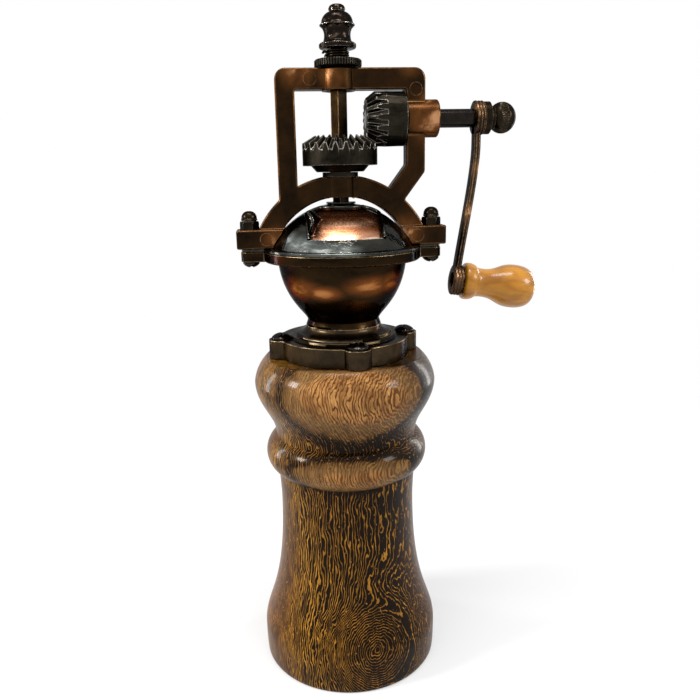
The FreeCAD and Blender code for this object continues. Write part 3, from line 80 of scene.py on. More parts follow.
def through(start, middle, end, steps):
    """Points on the arc through three (radius, height) points, without the first."""
    (x1, y1), (x2, y2), (x3, y3) = start, middle, end
    d = 2 * (x1 * (y2 - y3) + x2 * (y3 - y1) + x3 * (y1 - y2))
    a, b, c = x1 * x1 + y1 * y1, x2 * x2 + y2 * y2, x3 * x3 + y3 * y3
    centre = Vector((a * (y2 - y3) + b * (y3 - y1) + c * (y1 - y2),
                     a * (x3 - x2) + b * (x1 - x3) + c * (x2 - x1))) / d
    first = Vector(start) - centre
    sweep = first.angle_signed(Vector(middle) - centre) + (
        Vector(middle) - centre).angle_signed(Vector(end) - centre)
    turns = [Matrix.Rotation(-sweep * (step + 1) / steps, 2) for step in range(steps)]
    return [tuple(centre + turn @ first) for turn in turns]


def bend(start, pull_1, pull_2, end, steps):
    """Points on a Bezier curve between two (radius, height) points, without the first."""
    flat = [Vector((x, y, 0)) for x, y in (start, pull_1, pull_2, end)]
    return [tuple(point.xy) for point in interpolate_bezier(*flat, steps + 1)[1:]]


def lathe(bm, outline, steps=96, closed=False):
    """Turns (radius, height) points in millimetres about Z."""
    verts = [bm.verts.new((r / 1000, 0, z / 1000)) for r, z in outline]
    edges = [bm.edges.new(pair) for pair in zip(verts, verts[1:] + verts[:1] * closed)]
    bmesh.ops.spin(bm, geom=verts + edges, cent=(0, 0, 0), axis=(0, 0, 1), angle=math.tau,
                   steps=steps, use_merge=True)
    bmesh.ops.remove_doubles(bm, verts=bm.verts, dist=1e-7)
    bmesh.ops.recalc_face_normals(bm, faces=bm.faces)


def turned(name, outline, steps=96, closed=False, place=None):
    """Piece turned about Z from (radius, height) points in millimetres, then put in its place."""
    bm = bmesh.new()
    lathe(bm, outline, steps, closed)
    return finished(name, bm, place)


def finished(name, bm, place=None, crease=32):
    """Object from a bmesh, smooth but for edges sharper than the crease angle."""
    if place:
        bmesh.ops.transform(bm, matrix=place, verts=bm.verts)
    mesh = bpy.data.meshes.new(name)
    bm.to_mesh(mesh)
    bm.free()
    mesh.shade_smooth()
    mesh.set_sharp_from_angle(angle=math.radians(crease))
    piece = bpy.data.objects.new(name, mesh)
    bpy.context.scene.collection.objects.link(piece)
    return piece


# (radius, height) in millimetres, from the burr's seat over the foot, waist, bead and shoulder.
body_outline = [(13.5, 7), (19, 7), (19, 0.3), (19.3, 0), (30.2, 0), (30.7, 0.2), (31, 0.7)]
body_outline += bend((31, 0.7), (31.3, 4), (31.34, 7), (31.34, 10.5), 8)
body_outline += bend((31.34, 10.5), (31.34, 18.9), (23.5, 24), (23.5, 60), 40)
body_outline += bend((23.5, 60), (23.5, 64), (23.9, 68), (24.0, 71.3), 6)
body_outline += through((24.0, 71.3), (28, 78), (24.4, 84.7), 18)
body_outline += bend((24.4, 84.7), (24.4, 91.7), (30.95, 95.7), (30.95, 103.6), 20)
body_outline += through((30.95, 103.6), (29.5, 108.2), (26.6, 112), 10)
body_outline += [(14, 112), (13.5, 111.5)]
wood_body = turned("turned_body", body_outline, 160, closed=True)

# Lacquered wenge, turned and buffed. Dark heartwood with thin broken lines of light soft tissue,
# inky layers between them, and a pale zone on the front where the shoulder and bead cut into it,
# partly the wood's pale layers and partly a painted reflection; the lacquer is thin and clear, so
# its gloss is soft and takes the wood's own warmth.
wenge, tree, spot = blank_material("lacquered_wenge")

# The layers bend slowly over 30 mm and wander over 3 mm, and both run longer up the blank.
slow = add(tree, "ShaderNodeTexNoise", {
    "Vector": add(tree, "ShaderNodeVectorMath", {0: spot, 1: (1 / 30, 1 / 30, 1 / 55)},
                  operation="MULTIPLY"),
    "Scale": 1.0, "Detail": 1.5, "Roughness": 0.5})
slow = add(tree, "ShaderNodeVectorMath", {
    0: slow.outputs["Color"], 1: (11, 11, 11), 2: (-5.5, -5.5, -5.5)}, operation="MULTIPLY_ADD")
quick = add(tree, "ShaderNodeTexNoise", {
    "Vector": add(tree, "ShaderNodeVectorMath", {0: spot, 1: (1 / 3.2, 1 / 3.2, 1 / 9)},
                  operation="MULTIPLY"),
    "Scale": 1.0, "Detail": 2, "Roughness": 0.55})
quick = add(tree, "ShaderNodeVectorMath", {
    0: quick.outputs["Color"], 1: (3, 3, 3), 2: (-1.5, -1.5, -1.5)}, operation="MULTIPLY_ADD")
grown = add(tree, "ShaderNodeVectorMath", {0: spot, 1: slow}, operation="ADD")
grown = add(tree, "ShaderNodeVectorMath", {0: grown, 1: quick}, operation="ADD")

# Depth in millimetres across the layers; it swells at the bead, so that the pale zone, partly a
# painted reflection, shows there.
across_layers = (0.04, -0.99, 0.14)
bead_height = 75.5
depth = add(tree, "ShaderNodeVectorMath", {0: grown, 1: across_layers},
            operation="DOT_PRODUCT").outputs["Value"]
from_bead = add(tree, "ShaderNodeVectorMath", {0: spot, 1: (0, 0, 1), 2: (0, 0, -bead_height)},
                operation="MULTIPLY_ADD")
from_bead = add(tree, "ShaderNodeVectorMath", {0: from_bead}, operation="LENGTH").outputs["Value"]
bead_swell_and_sheen = add(tree, "ShaderNodeMapRange", {
    "Value": from_bead, "From Min": 2, "From Max": 8, "To Min": 5, "To Max": 0},
    interpolation_type="SMOOTHSTEP")
depth = add(tree, "ShaderNodeMath", {0: depth, 1: bead_swell_and_sheen}, operation="ADD")

# The light lines run up the waist and close to wider spaced rings round a knot low on the front.
line_spacing = 0.74
knot_centre = (7.0, -29.5, 14.0)
lines = add(tree, "ShaderNodeVectorMath", {0: grown, 1: (0.7, -0.7, 0.02)}, operation="DOT_PRODUCT")
away = add(tree, "ShaderNodeVectorMath", {0: grown, 1: knot_centre}, operation="SUBTRACT")
away = add(tree, "ShaderNodeVectorMath", {0: away}, operation="LENGTH").outputs["Value"]
knot = add(tree, "ShaderNodeMapRange", {
    "Value": away, "From Min": 11, "From Max": 25, "To Min": 1, "To Max": 0},
    interpolation_type="SMOOTHSTEP")
round_knot = add(tree, "ShaderNodeMath", {0: away, 1: -0.8, 2: 33}, operation="MULTIPLY_ADD")
rings = add(tree, "ShaderNodeMix", {0: knot, 2: lines.outputs["Value"], 3: round_knot})

# The phase is 0 between two lines and 1 on a line; gaps of 0.8 by 4 mm break the lines up.
breaks = add(tree, "ShaderNodeTexNoise", {
    "Vector": add(tree, "ShaderNodeVectorMath", {0: spot, 1: (1 / 0.8, 1 / 0.8, 1 / 4)},
                  operation="MULTIPLY"),
    "Scale": 1.0, "Detail": 3, "Roughness": 0.65})
phase = add(tree, "ShaderNodeMath", {0: rings, 1: line_spacing / 2}, operation="PINGPONG")
phase = add(tree, "ShaderNodeMath", {0: phase, 1: 2 / line_spacing, 2: breaks},
            operation="MULTIPLY_ADD")

# Colour of the dark wood and of the lines at each depth, and the share of light lines there. The
# paler, greyer stops from 36.4 mm on are partly the wood's pale layers and partly a painted
# reflection on the front of the shoulder and bead.
first_layer, last_layer = -32, 46
zone = add(tree, "ShaderNodeMapRange", {
    "Value": depth, "From Min": first_layer, "From Max": last_layer})
heart_and_sheen = add(tree, "ShaderNodeValToRGB", {"Fac": zone})
lines_and_sheen = add(tree, "ShaderNodeValToRGB", {"Fac": zone})
for ramp, stops in (
        (heart_and_sheen, ((-32, "1a0d03", 0.28), (-14, "241305", 0.35), (-2, "3f2207", 0.45),
                 (8, "2e1906", 0.38), (18, "2b1606", 0.33), (26, "0d0501", 0.27),
                 (32.5, "060200", 0.26), (34.2, "030100", 0.05), (35.4, "0a0502", 0.1),
                 (36.4, "432b14", 0.5), (39.5, "5b4126", 0.55), (41.3, "57351a", 0.62),
                 (46, "553518", 0.7))),
        (lines_and_sheen, ((-32, "573410", 1), (-2, "744714", 1), (16, "714812", 1), (25, "a06f22", 1),
                 (34, "7a4f1c", 1), (36.4, "6d4e28", 1), (39.5, "836139", 1), (41.3, "a27240", 1),
                 (46, "b0844e", 1)))):
    for number, (layer, colour, share) in enumerate(stops):
        if 0 < number < len(stops) - 1:
            ramp.color_ramp.elements.new((layer - first_layer) / (last_layer - first_layer))
        ramp.color_ramp.elements[number].color = linear(colour)[:3] + [share]

# A line shows where its phase passes this level. Towards +X fewer do: painted shade on the side
# away from the key lamp.
line_level, line_edge = 1.44, 0.16
shaded_side = add(tree, "ShaderNodeVectorMath", {0: spot, 1: (0.006, 0.0, 0.0)}, operation="DOT_PRODUCT")
lowest = add(tree, "ShaderNodeMath", {0: shaded_side.outputs["Value"], 1: heart_and_sheen.outputs["Alpha"]},
             operation="SUBTRACT")
lowest = add(tree, "ShaderNodeMath", {0: lowest, 1: line_level})
highest = add(tree, "ShaderNodeMath", {0: lowest, 1: line_edge})
gold = add(tree, "ShaderNodeMapRange", {"Value": phase, "From Min": lowest, "From Max": highest},
           interpolation_type="SMOOTHSTEP")

# Fibres shade both woods, drawn 0.35 mm wide, as coarse as they need to show. The lines glow and
# fade over 2.4 mm, and flecks of 0.7 mm lie between them.
fibre = add(tree, "ShaderNodeTexNoise", {
    "Vector": add(tree, "ShaderNodeVectorMath", {0: spot, 1: (1 / 0.35, 1 / 0.35, 1 / 5)},
                  operation="MULTIPLY"),
    "Scale": 1.0, "Detail": 3, "Roughness": 0.6})
glow = add(tree, "ShaderNodeTexNoise", {
    "Vector": add(tree, "ShaderNodeVectorMath", {0: spot, 1: (1 / 2.4, 1 / 2.4, 1 / 7)},
                  operation="MULTIPLY"),
    "Scale": 1.0, "Detail": 2, "Roughness": 0.6})
glow = add(tree, "ShaderNodeMapRange", {
    "Value": glow, "From Min": 0.36, "From Max": 0.6, "To Min": 0.3, "To Max": 1.0})
gold = add(tree, "ShaderNodeMath", {0: gold, 1: glow}, operation="MULTIPLY")
grain = add(tree, "ShaderNodeMix", {
    0: gold, 6: heart_and_sheen.outputs["Color"], 7: lines_and_sheen.outputs["Color"]}, data_type="RGBA")
fleck = add(tree, "ShaderNodeTexNoise", {
    "Vector": add(tree, "ShaderNodeVectorMath", {0: spot, 1: (1 / 0.7, 1 / 0.7, 1 / 1.5)},
                  operation="MULTIPLY"),
    "Scale": 1.0, "Detail": 1})
fleck = add(tree, "ShaderNodeMapRange", {"Value": fleck, "From Min": 0.69, "From Max": 0.77})
grain = add(tree, "ShaderNodeMix", {0: fleck, 6: grain, 7: linear("94692f")}, data_type="RGBA")
shade = add(tree, "ShaderNodeMapRange", {
    "Value": fibre, "From Min": 0.3, "From Max": 0.7, "To Min": 0.6, "To Max": 1.35})
grain = add(tree, "ShaderNodeVectorMath", {0: grain, "Scale": shade}, operation="SCALE")
lacquer = add(tree, "ShaderNodeBsdfPrincipled", {
    "Base Color": grain, "Roughness": 0.34, "Specular IOR Level": 0.06,
    "Specular Tint": (1, 0.6, 0.3, 1), "Coat Weight": 0.12, "Coat Roughness": 0.11})
add(tree, "ShaderNodeOutputMaterial", {"Surface": lacquer})

wood_body.data.materials.append(wenge)
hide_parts("wood_body")
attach(wood_body, "housing")


# ---- mounting flange and its screws -----------------------------------------------------------
# A cast zinc plate with four screw lobes, plated and darkened to a brown black bronze. Its cast
# edges are a little rounded and rubbed bright; round head screws hold it to the body.
def patinated(name, deep, film, rubbed_and_sheen, bright, patch=6.0, share=0.3, edge=0.35, gloss=0.4,
              grit=0.02, pitch=0.33, coat=0.2, worn=(), squeeze=(1, 1, 1), wear=0.8, grooves=None):
    """Darkened plating under clear lacquer: a dark uneven film, metal showing through, bright edges.

    patch is the size of the film's clouds, edge the width of the bright edges, grit the height of
    the surface's grain and pitch its spacing, all in millimetres. A casting's fine grain is drawn
    as coarse as it needs to show. share is how much of the film wears through and wear how bright
    the edges are, from 0 to 1. worn lists (place, reach) in millimetres of spots in the rubbed
    colour: spots that hands and neighbours wear, and spots where highlights and reflections are
    painted. squeeze shrinks or draws out these spots and the clouds. grooves is the range of radii
    from the spindle over which the darkening towards the groove bottoms fades out.
    """
    material, tree, spot = blank_material(name)

    # Clouds of thicker and thinner film, and specks of about 0.6 mm.
    cloud = add(tree, "ShaderNodeTexNoise", {
        "Vector": add(tree, "ShaderNodeVectorMath", {0: spot, 1: squeeze}, operation="MULTIPLY"),
        "Scale": 1 / patch, "Detail": 4, "Roughness": 0.62, "Distortion": 0.3})
    speck = add(tree, "ShaderNodeTexNoise", {
        "Vector": spot, "Scale": 1.6, "Detail": 3, "Roughness": 0.7})

    # The film wears through where it is thinnest and at the spots that hands and neighbours reach;
    # some of these spots are also painted highlights and painted reflections.
    rub_and_sheen = add(tree, "ShaderNodeMapRange", {
        "Value": cloud, "From Min": 0.72 - 0.3 * share, "From Max": 1.0 - 0.3 * share,
        "To Max": 0.8}, interpolation_type="SMOOTHSTEP")
    for place, reach in worn:
        near = add(tree, "ShaderNodeVectorMath", {0: spot, 1: place}, operation="SUBTRACT")
        near = add(tree, "ShaderNodeVectorMath", {0: near, 1: squeeze}, operation="MULTIPLY")
        near = add(tree, "ShaderNodeVectorMath", {0: near}, operation="LENGTH").outputs["Value"]
        near = add(tree, "ShaderNodeMapRange", {
            "Value": near, "From Min": 0, "From Max": reach, "To Min": 1, "To Max": 0},
            interpolation_type="SMOOTHSTEP")
        thin = add(tree, "ShaderNodeMapRange", {
            "Value": cloud, "From Min": 0.3, "From Max": 0.6, "To Min": 0.25})
        near = add(tree, "ShaderNodeMath", {0: near, 1: thin}, operation="MULTIPLY")
        rub_and_sheen = add(tree, "ShaderNodeMath", {0: rub_and_sheen, 1: near}, operation="MAXIMUM")

    # An edge is where the rounded normal leaves the face's own; specks break its bright line.
    round_off = add(tree, "ShaderNodeBevel", {"Radius": edge / 1000}, samples=6)
    face = add(tree, "ShaderNodeNewGeometry").outputs["Normal"]
    corner = add(tree, "ShaderNodeVectorMath", {0: round_off, 1: face},
                 operation="DOT_PRODUCT").outputs["Value"]
    corner = add(tree, "ShaderNodeMapRange", {
        "Value": corner, "From Min": 0.985, "From Max": 0.87}, interpolation_type="SMOOTHSTEP")
    chipped = add(tree, "ShaderNodeMapRange", {
        "Value": speck, "From Min": 0.35, "From Max": 0.7, "To Max": wear})
    corner = add(tree, "ShaderNodeMath", {0: corner, 1: chipped}, operation="MULTIPLY")

    # From the film's two tones over rubbed metal to bright metal on edges and where it rubs most,
    # which at some spots is a painted highlight.
    film_depth = add(tree, "ShaderNodeMapRange", {"Value": cloud, "From Min": 0.3, "From Max": 0.7})
    tone = add(tree, "ShaderNodeMix", {0: film_depth, 6: linear(deep), 7: linear(film)},
               data_type="RGBA")
    tone = add(tree, "ShaderNodeMix", {0: rub_and_sheen, 6: tone, 7: linear(rubbed_and_sheen)}, data_type="RGBA")
    bare_and_highlight = add(tree, "ShaderNodeMapRange", {
        "Value": rub_and_sheen, "From Min": 0.5, "From Max": 1.0, "To Max": 0.7}, interpolation_type="SMOOTHSTEP")
    corner = add(tree, "ShaderNodeMath", {0: corner, 1: bare_and_highlight}, operation="MAXIMUM")
    tone = add(tree, "ShaderNodeMix", {0: corner, 6: tone, 7: linear(bright)}, data_type="RGBA")
    # Inside the grooves range the colour darkens towards the spindle.
    if grooves:
        out = add(tree, "ShaderNodeVectorMath", {0: spot, 1: (1, 1, 0)}, operation="MULTIPLY")
        out = add(tree, "ShaderNodeVectorMath", {0: out}, operation="LENGTH").outputs["Value"]
        out = add(tree, "ShaderNodeMapRange", {
            "Value": out, "From Min": grooves[0], "From Max": grooves[1], "To Min": 0.15})
        tone = add(tree, "ShaderNodeVectorMath", {0: tone, "Scale": out}, operation="SCALE")

    # The gloss varies with the specks, and the grain stands up as low bumps.
    rough = add(tree, "ShaderNodeMapRange", {
        "Value": speck, "From Min": 0.3, "From Max": 0.7,
        "To Min": gloss - 0.07, "To Max": gloss + 0.08})
    grain = add(tree, "ShaderNodeTexNoise", {
        "Vector": spot, "Scale": 1 / pitch, "Detail": 3, "Roughness": 0.6})
    bump = add(tree, "ShaderNodeBump", {"Strength": 1.0, "Distance": grit / 1000, "Height": grain})
    metal = add(tree, "ShaderNodeBsdfPrincipled", {
        "Base Color": tone, "Metallic": 1.0, "Specular Tint": (0.3, 0.3, 0.3, 1),
        "Roughness": rough, "Normal": bump,
        "Coat Weight": coat, "Coat Roughness": 0.12, "Coat Normal": bump})
    add(tree, "ShaderNodeOutputMaterial", {"Surface": metal})
    return material


def cast_copy(name, node, metal, edge=0.4, crease=35, segments=3, rim=None):
    """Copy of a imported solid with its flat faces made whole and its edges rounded.

    edge is the rounding in millimetres, crease the least angle in degrees that is rounded, and
    rim the metal that the rounded edges show where it differs from the rest.
    """
    bm = bmesh.new()
    bm.from_mesh(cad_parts[node].data)
    bmesh.ops.remove_doubles(bm, verts=bm.verts, dist=2e-6)
    bmesh.ops.dissolve_limit(bm, angle_limit=math.radians(0.6), verts=bm.verts, edges=bm.edges)

    # An edge is rounded only where both of its faces are wider than twice the rounding.
    rounded = bm.edges.layers.float.new("bevel_weight_edge")
    for side in bm.edges:
        if len(side.link_faces) == 2 and side.calc_face_angle() > math.radians(crease):
            width = min(face.calc_area() for face in side.link_faces) / side.calc_length()
            side[rounded] = float(width > edge / 500)

    piece = finished(name, bm, crease=crease)
    piece.data.materials.append(metal)
    if rim:
        piece.data.materials.append(rim)
    if edge:
        rounding = piece.modifiers.new("rounded edges", "BEVEL")
        rounding.width, rounding.segments = edge / 1000, segments
        rounding.limit_method, rounding.material = "WEIGHT", 1 if rim else -1
        rounding.miter_outer, rounding.use_clamp_overlap = "MITER_ARC", False
        evening = piece.modifiers.new("even shading", "WEIGHTED_NORMAL")
        evening.keep_sharp = True
    return piece


# Bronze plating on cast zinc, darkened: an olive black skin with a soft sheen and a fine grain.
dark_bronze = patinated("dark_bronze_plate", "20180e", "423422", "544230", "bba789",
                        share=0.3, gloss=0.34, coat=0.12, wear=1.0)
# The same plating on a rounded edge, rubbed through to straw coloured metal in uneven lengths.
rubbed_bronze = patinated("rubbed_bronze_edge", "2e2416", "6d5c43", "a8957a", "d9cbb4",
                          share=0.5, gloss=0.32, coat=0.1, patch=3)
flange = cast_copy("flange", "mounting_flange", dark_bronze, 0.3, rim=rubbed_bronze)
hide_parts("mounting_flange")
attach(flange, "housing")

# Black nickel on steel fasteners: near black and smooth, with hard small highlights.
black_nickel = patinated("black_nickel_plate", "0c0907", "201914", "463a31", "c9b7a3",
                         share=0.35, gloss=0.22, grit=0.006, coat=0.2, patch=2.5, wear=0.6)
screws = cast_copy("flange_screw_heads", "flange_screws", black_nickel, 0.15, segments=2)
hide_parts("flange_screws")
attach(screws, "housing")


# ---- seed bowl --------------------------------------------------------------------------------
# Round bottomed zinc casting that screws into the flange, copper plated, darkened and buffed,
# so that warm copper shows through in bands; on its front the bands are also painted reflections.
# Two lugs on its rim take the yoke's bolts.

# Antique copper plating, buffed on the lathe: near black and satin, the metal in soft warm bands,
# which on the front are partly painted reflections.
buffed_copper = patinated(
    "buffed_antique_copper", "0f0903", "2c1d0a", "824821", "b07743",
    patch=5, share=0.0, gloss=0.3, grit=0.008, squeeze=(0.4, 0.4, 1), coat=0.06, worn=(
        ((-17, -12, 136.2), 5.5), ((-8, -17, 135.4), 3.6), ((7, -19, 137.6), 4.6),
        ((15, -14, 138), 4.4), ((2, -14, 131.3), 2.8), ((20, -6, 134), 4),
        ((9, 18, 137), 4.5), ((-12, 16, 138), 4.5)))
bowl = cast_copy("seed_bowl", "hopper_bowl", buffed_copper, 0.3, rim=rubbed_bronze)
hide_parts("hopper_bowl")
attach(bowl, "housing")


# ---- domed lid --------------------------------------------------------------------------------
# A dome with a flat hemmed flange, spun from thin sheet, with a window cut in its front. It is
# plated almost black and polished, and stands on the bowl's rim under the yoke's arch.

# Gunmetal plating on spun sheet: a dark mirror with low waves, and pale patches low on the dome:
# rubs, and on the front left a painted reflection.
gunmetal = patinated(
    "polished_gunmetal_sheet", "10110d", "35332b", "8b918c", "d5d9d4",
    patch=4, share=0.05, gloss=0.14, grit=0.35, pitch=4.5, coat=0.3, squeeze=(0.5, 0.5, 1.3), worn=(
        ((-14, -17, 150.5), 5.5), ((-8, -21, 149.5), 4.5), ((-1, -23, 149), 3.5),
        ((-18, -10, 152), 4), ((16, 16, 151), 7), ((-14, 17, 151), 6), ((6, 21, 150), 5)))
dome = cast_copy("domed_lid", "hopper_dome", gunmetal, 0.22, segments=2)
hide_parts("hopper_dome")
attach(dome, "housing")


# ---- sliding door -----------------------------------------------------------------------------
# A curved leaf of copper sheet under the window, riveted on the eyelet so that it slides round
# under the dome. Its tab is plated as the lid is, bent up through the window and twisted.

# Bare copper sheet, brushed round the dome: bright salmon with fine level streaks. Its two spots
# are painted highlights, a bright band low on the door's front and a small glint above it.
copper_sheet = patinated(
    "brushed_copper_sheet", "70391f", "a86c48", "d9a988", "fbe6d8",
    patch=1.3, share=0.45, gloss=0.27, grit=0.01, coat=0.2, squeeze=(0.1, 0.1, 1.2),
    worn=(((0, -21, 151.6), 4), ((0, -17, 156.5), 1.6)))
door = cast_copy("sliding_door", "dome_door", copper_sheet, 0.15, segments=2)

# What stands outside the door's own sheet is the tab. It points this way from the dome's centre.
dome_centre, dome_radius = Vector((0, 0, 0.1363)), 0.0263
door_outside = dome_radius - 0.0007
tab_round, tab_down = math.radians(-126), math.radians(39)
tab_reach, tab_height, tab_twist = math.radians(14), 0.005, math.radians(55)
tab_line = Matrix.Rotation(tab_round, 3, "Z") @ Vector((math.sin(tab_down), 0, math.cos(tab_down)))
bm = bmesh.new()
bm.from_mesh(door.data)
tab = [face for face in bm.faces
       if (face.calc_center_median() - dome_centre).length > door_outside]
for face in tab:
    face.material_index = 1
edges = [edge for edge in bm.edges if any(face.material_index for face in edge.link_faces)]
bmesh.ops.subdivide_edges(bm, edges=edges, cuts=5, use_grid_fill=True)
for vert in bm.verts:
    rise = (vert.co - dome_centre).length - dome_radius
    if rise > 0 and (vert.co - dome_centre).angle(tab_line) < tab_reach:
        twist = Matrix.Rotation(tab_twist * rise / tab_height, 3, tab_line)
        vert.co = dome_centre + twist @ (vert.co - dome_centre)
bm.to_mesh(door.data)
bm.free()
door.data.materials.append(gunmetal)
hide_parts("dome_door")
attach(door, "door")


# ---- window lip and eyelet --------------------------------------------------------------------
# The sheet round the window is rolled over into a lip, up both sides and in round the middle. The
# eyelet is a plated rivet at the dome's top that joins door and dome and lets the spindle through.
def swept(curve):
    """Mesh of a curve that has a thickness."""
    holder = bpy.data.objects.new(curve.name, curve)
    mesh = bpy.data.meshes.new_from_object(holder)
    bpy.data.objects.remove(holder)
    return mesh


# Seen from above, (x, y) in millimetres: up the left side, round the middle, down the right side.
side_x, front_y, back_y, corner_y, middle_radius = 11.8, -17.1, -5.1, -4.2, 8.1
lip_plan = [(-side_x, front_y + step * 1.2) for step in range(11)]
lip_plan += [(-10.9, corner_y), (-9.2, corner_y)]
for turn in range(31, 150, 8):
    lip_plan.append((-middle_radius * math.cos(math.radians(turn)),
                     -middle_radius * math.sin(math.radians(turn))))
lip_plan += [(9.2, corner_y), (10.9, corner_y)]
lip_plan += [(side_x, back_y - step * 1.2) for step in range(11)]
roll = bpy.data.curves.new("window_lip_roll", "CURVE")
roll.dimensions, roll.bevel_depth, roll.bevel_resolution = "3D", 0.00062, 4
roll.use_fill_caps = True
spline = roll.splines.new("POLY")
spline.points.add(len(lip_plan) - 1)
for point, (x, y) in zip(spline.points, lip_plan):
    up = math.sqrt((dome_radius * 1000) ** 2 - x * x - y * y)
    point.co = (x / 1000, y / 1000, dome_centre.z + up / 1000, 1)
bm = bmesh.new()
bm.from_mesh(swept(roll))
lip = finished("window_lip", bm, crease=180)
lip.data.materials.append(gunmetal)
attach(lip, "housing")

eyelet = cast_copy("lid_eyelet", "dome_eyelet", black_nickel, 0.12, segments=2)
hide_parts("dome_eyelet")
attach(eyelet, "housing")


# ---- yoke -------------------------------------------------------------------------------------
# The open frame that carries both shafts: one zinc casting, copper plated and darkened, with a
# boss turned true round each shaft. Its two ears stand on the bowl's lugs.

# Antique copper plating: a brown black satin skin, worn back to copper on the bosses, along the
# top bar and on the ears. The first three spots, on the front and top of the crank boss, are worn
# copper and also a painted highlight there.
antique_copper = patinated(
    "antique_copper_plate", "120b04", "2f1d0a", "774822", "d8a173",
    patch=8, share=0.05, gloss=0.31, coat=0.06, wear=0.55, worn=(
        ((29.5, -8, 187.2), 12), ((26.5, -7, 185), 6), ((29, -3, 193.5), 5), ((-3, -5, 201), 6),
        ((-21, -6, 151), 7), ((21, -6, 153), 8), ((-13, -3, 203), 8), ((22, 0, 204), 6),
        ((28, 5, 186), 8), ((0, 5, 200), 7)))
# The same plating on a rounded edge: brown, with lengths of pale bare copper.
rubbed_copper = patinated("rubbed_copper_edge", "2e1c0b", "5e3e20", "9f764c", "dcbc94",
                          patch=5, share=0.35, gloss=0.3, coat=0.1)
yoke = cast_copy("yoke", "yoke_frame", antique_copper, 0.5, rim=rubbed_copper)
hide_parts("yoke_frame")
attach(yoke, "housing")

# The hub's turned face is a sleeve, 0.05 mm proud of the casting.
boss = turned("hub_boss", [(4.0, 164.25), (4.75, 164.25), (4.9, 164.4), (4.9, 170.58),
                           (4.75, 170.74), (4.0, 170.74)], 72, closed=True)
boss.data.materials.append(antique_copper)
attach(boss, "housing")


# ---- ear bolts and cap nuts -------------------------------------------------------------------
# A steel bolt with a pan head goes up through each lug and ear, and a domed cap nut on a collar
# closes it above. Both are plated dark.
bolts = cast_copy("ear_bolts", "yoke_bolts", black_nickel, 0.15, segments=2)
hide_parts("yoke_bolts")
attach(bolts, "housing")

# Bronze plating on small turned steel: dark brown and smooth, with thin dull gold edges.
aged_bronze = patinated("aged_bronze_plate", "0e0a05", "281f14", "4f4232", "b5a68c",
                        share=0.3, gloss=0.33, grit=0.006, coat=0.08, patch=3, edge=0.2, wear=0.6)

# A hexagon with its upper corners cut back, then (radius, height) in millimetres of the dome.
nut_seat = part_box("acorn_nuts")[0][2]
hexagon_radius, hexagon_height, hexagon_turn = 0.00318, 0.0026, math.radians(20)
cap_outline = [(0, 2.4), (2.3, 2.4), (2.3, 2.85), (2.62, 2.9), (2.7, 3.1), (2.6, 3.3), (2.5, 3.4),
               (2.52, 3.7), (2.4, 4.4), (2.0, 5.1), (1.4, 5.6), (0.7, 5.85), (0, 5.88)]
for side, x in (("left", -0.030), ("right", 0.030)):
    bm = bmesh.new()
    bmesh.ops.create_cone(
        bm, cap_ends=True, segments=6, radius1=hexagon_radius, radius2=hexagon_radius,
        depth=hexagon_height, matrix=Matrix.Translation((0, 0, hexagon_height / 2))
        @ Matrix.Rotation(hexagon_turn, 4, "Z"))
    corners = [vert for vert in bm.verts if vert.co.z > hexagon_height / 2]
    bmesh.ops.bevel(bm, geom=corners, offset=0.00075, affect="VERTICES", segments=2, profile=0.5,
                    material=-1)
    lathe(bm, cap_outline, 40)
    nut = finished(side + "_cap_nut", bm, Matrix.Translation((x, 0, nut_seat)), crease=28)
    nut.data.materials.append(aged_bronze)
    if side == "left":
        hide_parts("acorn_nuts")
    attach(nut, "housing")


# ---- bevel gears ------------------------------------------------------------------------------
# Two bevel gears of sintered steel, chemically blackened. The pinion on the crank's shaft drives
# the crown wheel, which turns the spindle by its square.

# Blackened sintered steel: matt black with a fine dry grain and no lacquer.
black_steel = patinated("blackened_gear_steel", "100e0b", "2b2720", "3b362e", "c4bdb0",
                        share=0.2, edge=0.3, gloss=0.4, grit=0.015, coat=0.0, wear=1.0)
# The same steel where the teeth run against each other: bright grey along their tips.
rubbed_steel = patinated("rubbed_tooth_steel", "3a362f", "7a746a", "b5afa4", "efeae0",
                         share=0.5, gloss=0.33, grit=0.01, coat=0.0, wear=1.0, patch=3)
for name, node, body in (("crown_wheel", "crown_gear", "drive"), ("pinion", "pinion_gear", "crank")):
    gear = cast_copy(name, node, black_steel, 0.13, crease=25, segments=2, rim=rubbed_steel)
    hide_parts(node)
    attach(gear, body)


# ---- bushes -----------------------------------------------------------------------------------
# Three turned bushes of blackened steel, pressed into the yoke's top bar, hub and crank boss. The
# spindle and the crank turn in them.
for name, node in (
        ("top_bearing", "top_bush"), ("hub_bearing", "hub_bush"), ("crank_bearing", "crank_bush")):
    bush = cast_copy(name, node, black_steel, 0.12, segments=2)
    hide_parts(node)
    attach(bush, "housing")


# ---- crank ------------------------------------------------------------------------------------
# A plain shaft carries the pinion, and the arm, a cast bar with a ringed eye at each end, fits
# on its squared end. The grip's axle is riveted through the lower eye, with a washer and a nut.
for name, node, metal, slot in (
        ("crank_spindle", "crank_shaft", black_nickel, "black_nickel"),
        ("grip_pin", "grip_axle", black_steel, "dark_steel"),
        ("grip_spacer", "grip_washer", black_steel, "dark_steel"),
        ("grip_end_nut", "grip_nut", black_steel, "dark_steel")):
    piece = cast_copy(name, node, metal, 0.15, segments=2)
    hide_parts(node)
    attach(piece, "crank")

# Bronze plating that hands wear: dark brown on the flats, coppery on the edges and where the
# fingers and the swing rub it.
arm_bronze = patinated(
    "worn_bronze_plate", "120c06", "2c2114", "6b4e33", "d0a176",
    patch=5, share=0.25, gloss=0.34, coat=0.1, edge=0.5, worn=(
        ((44, -3, 191), 5), ((46, -2.5, 172), 5), ((42.5, -2.5, 158), 6),
        ((36.5, -3, 137), 7), ((37, -3, 133), 5)))

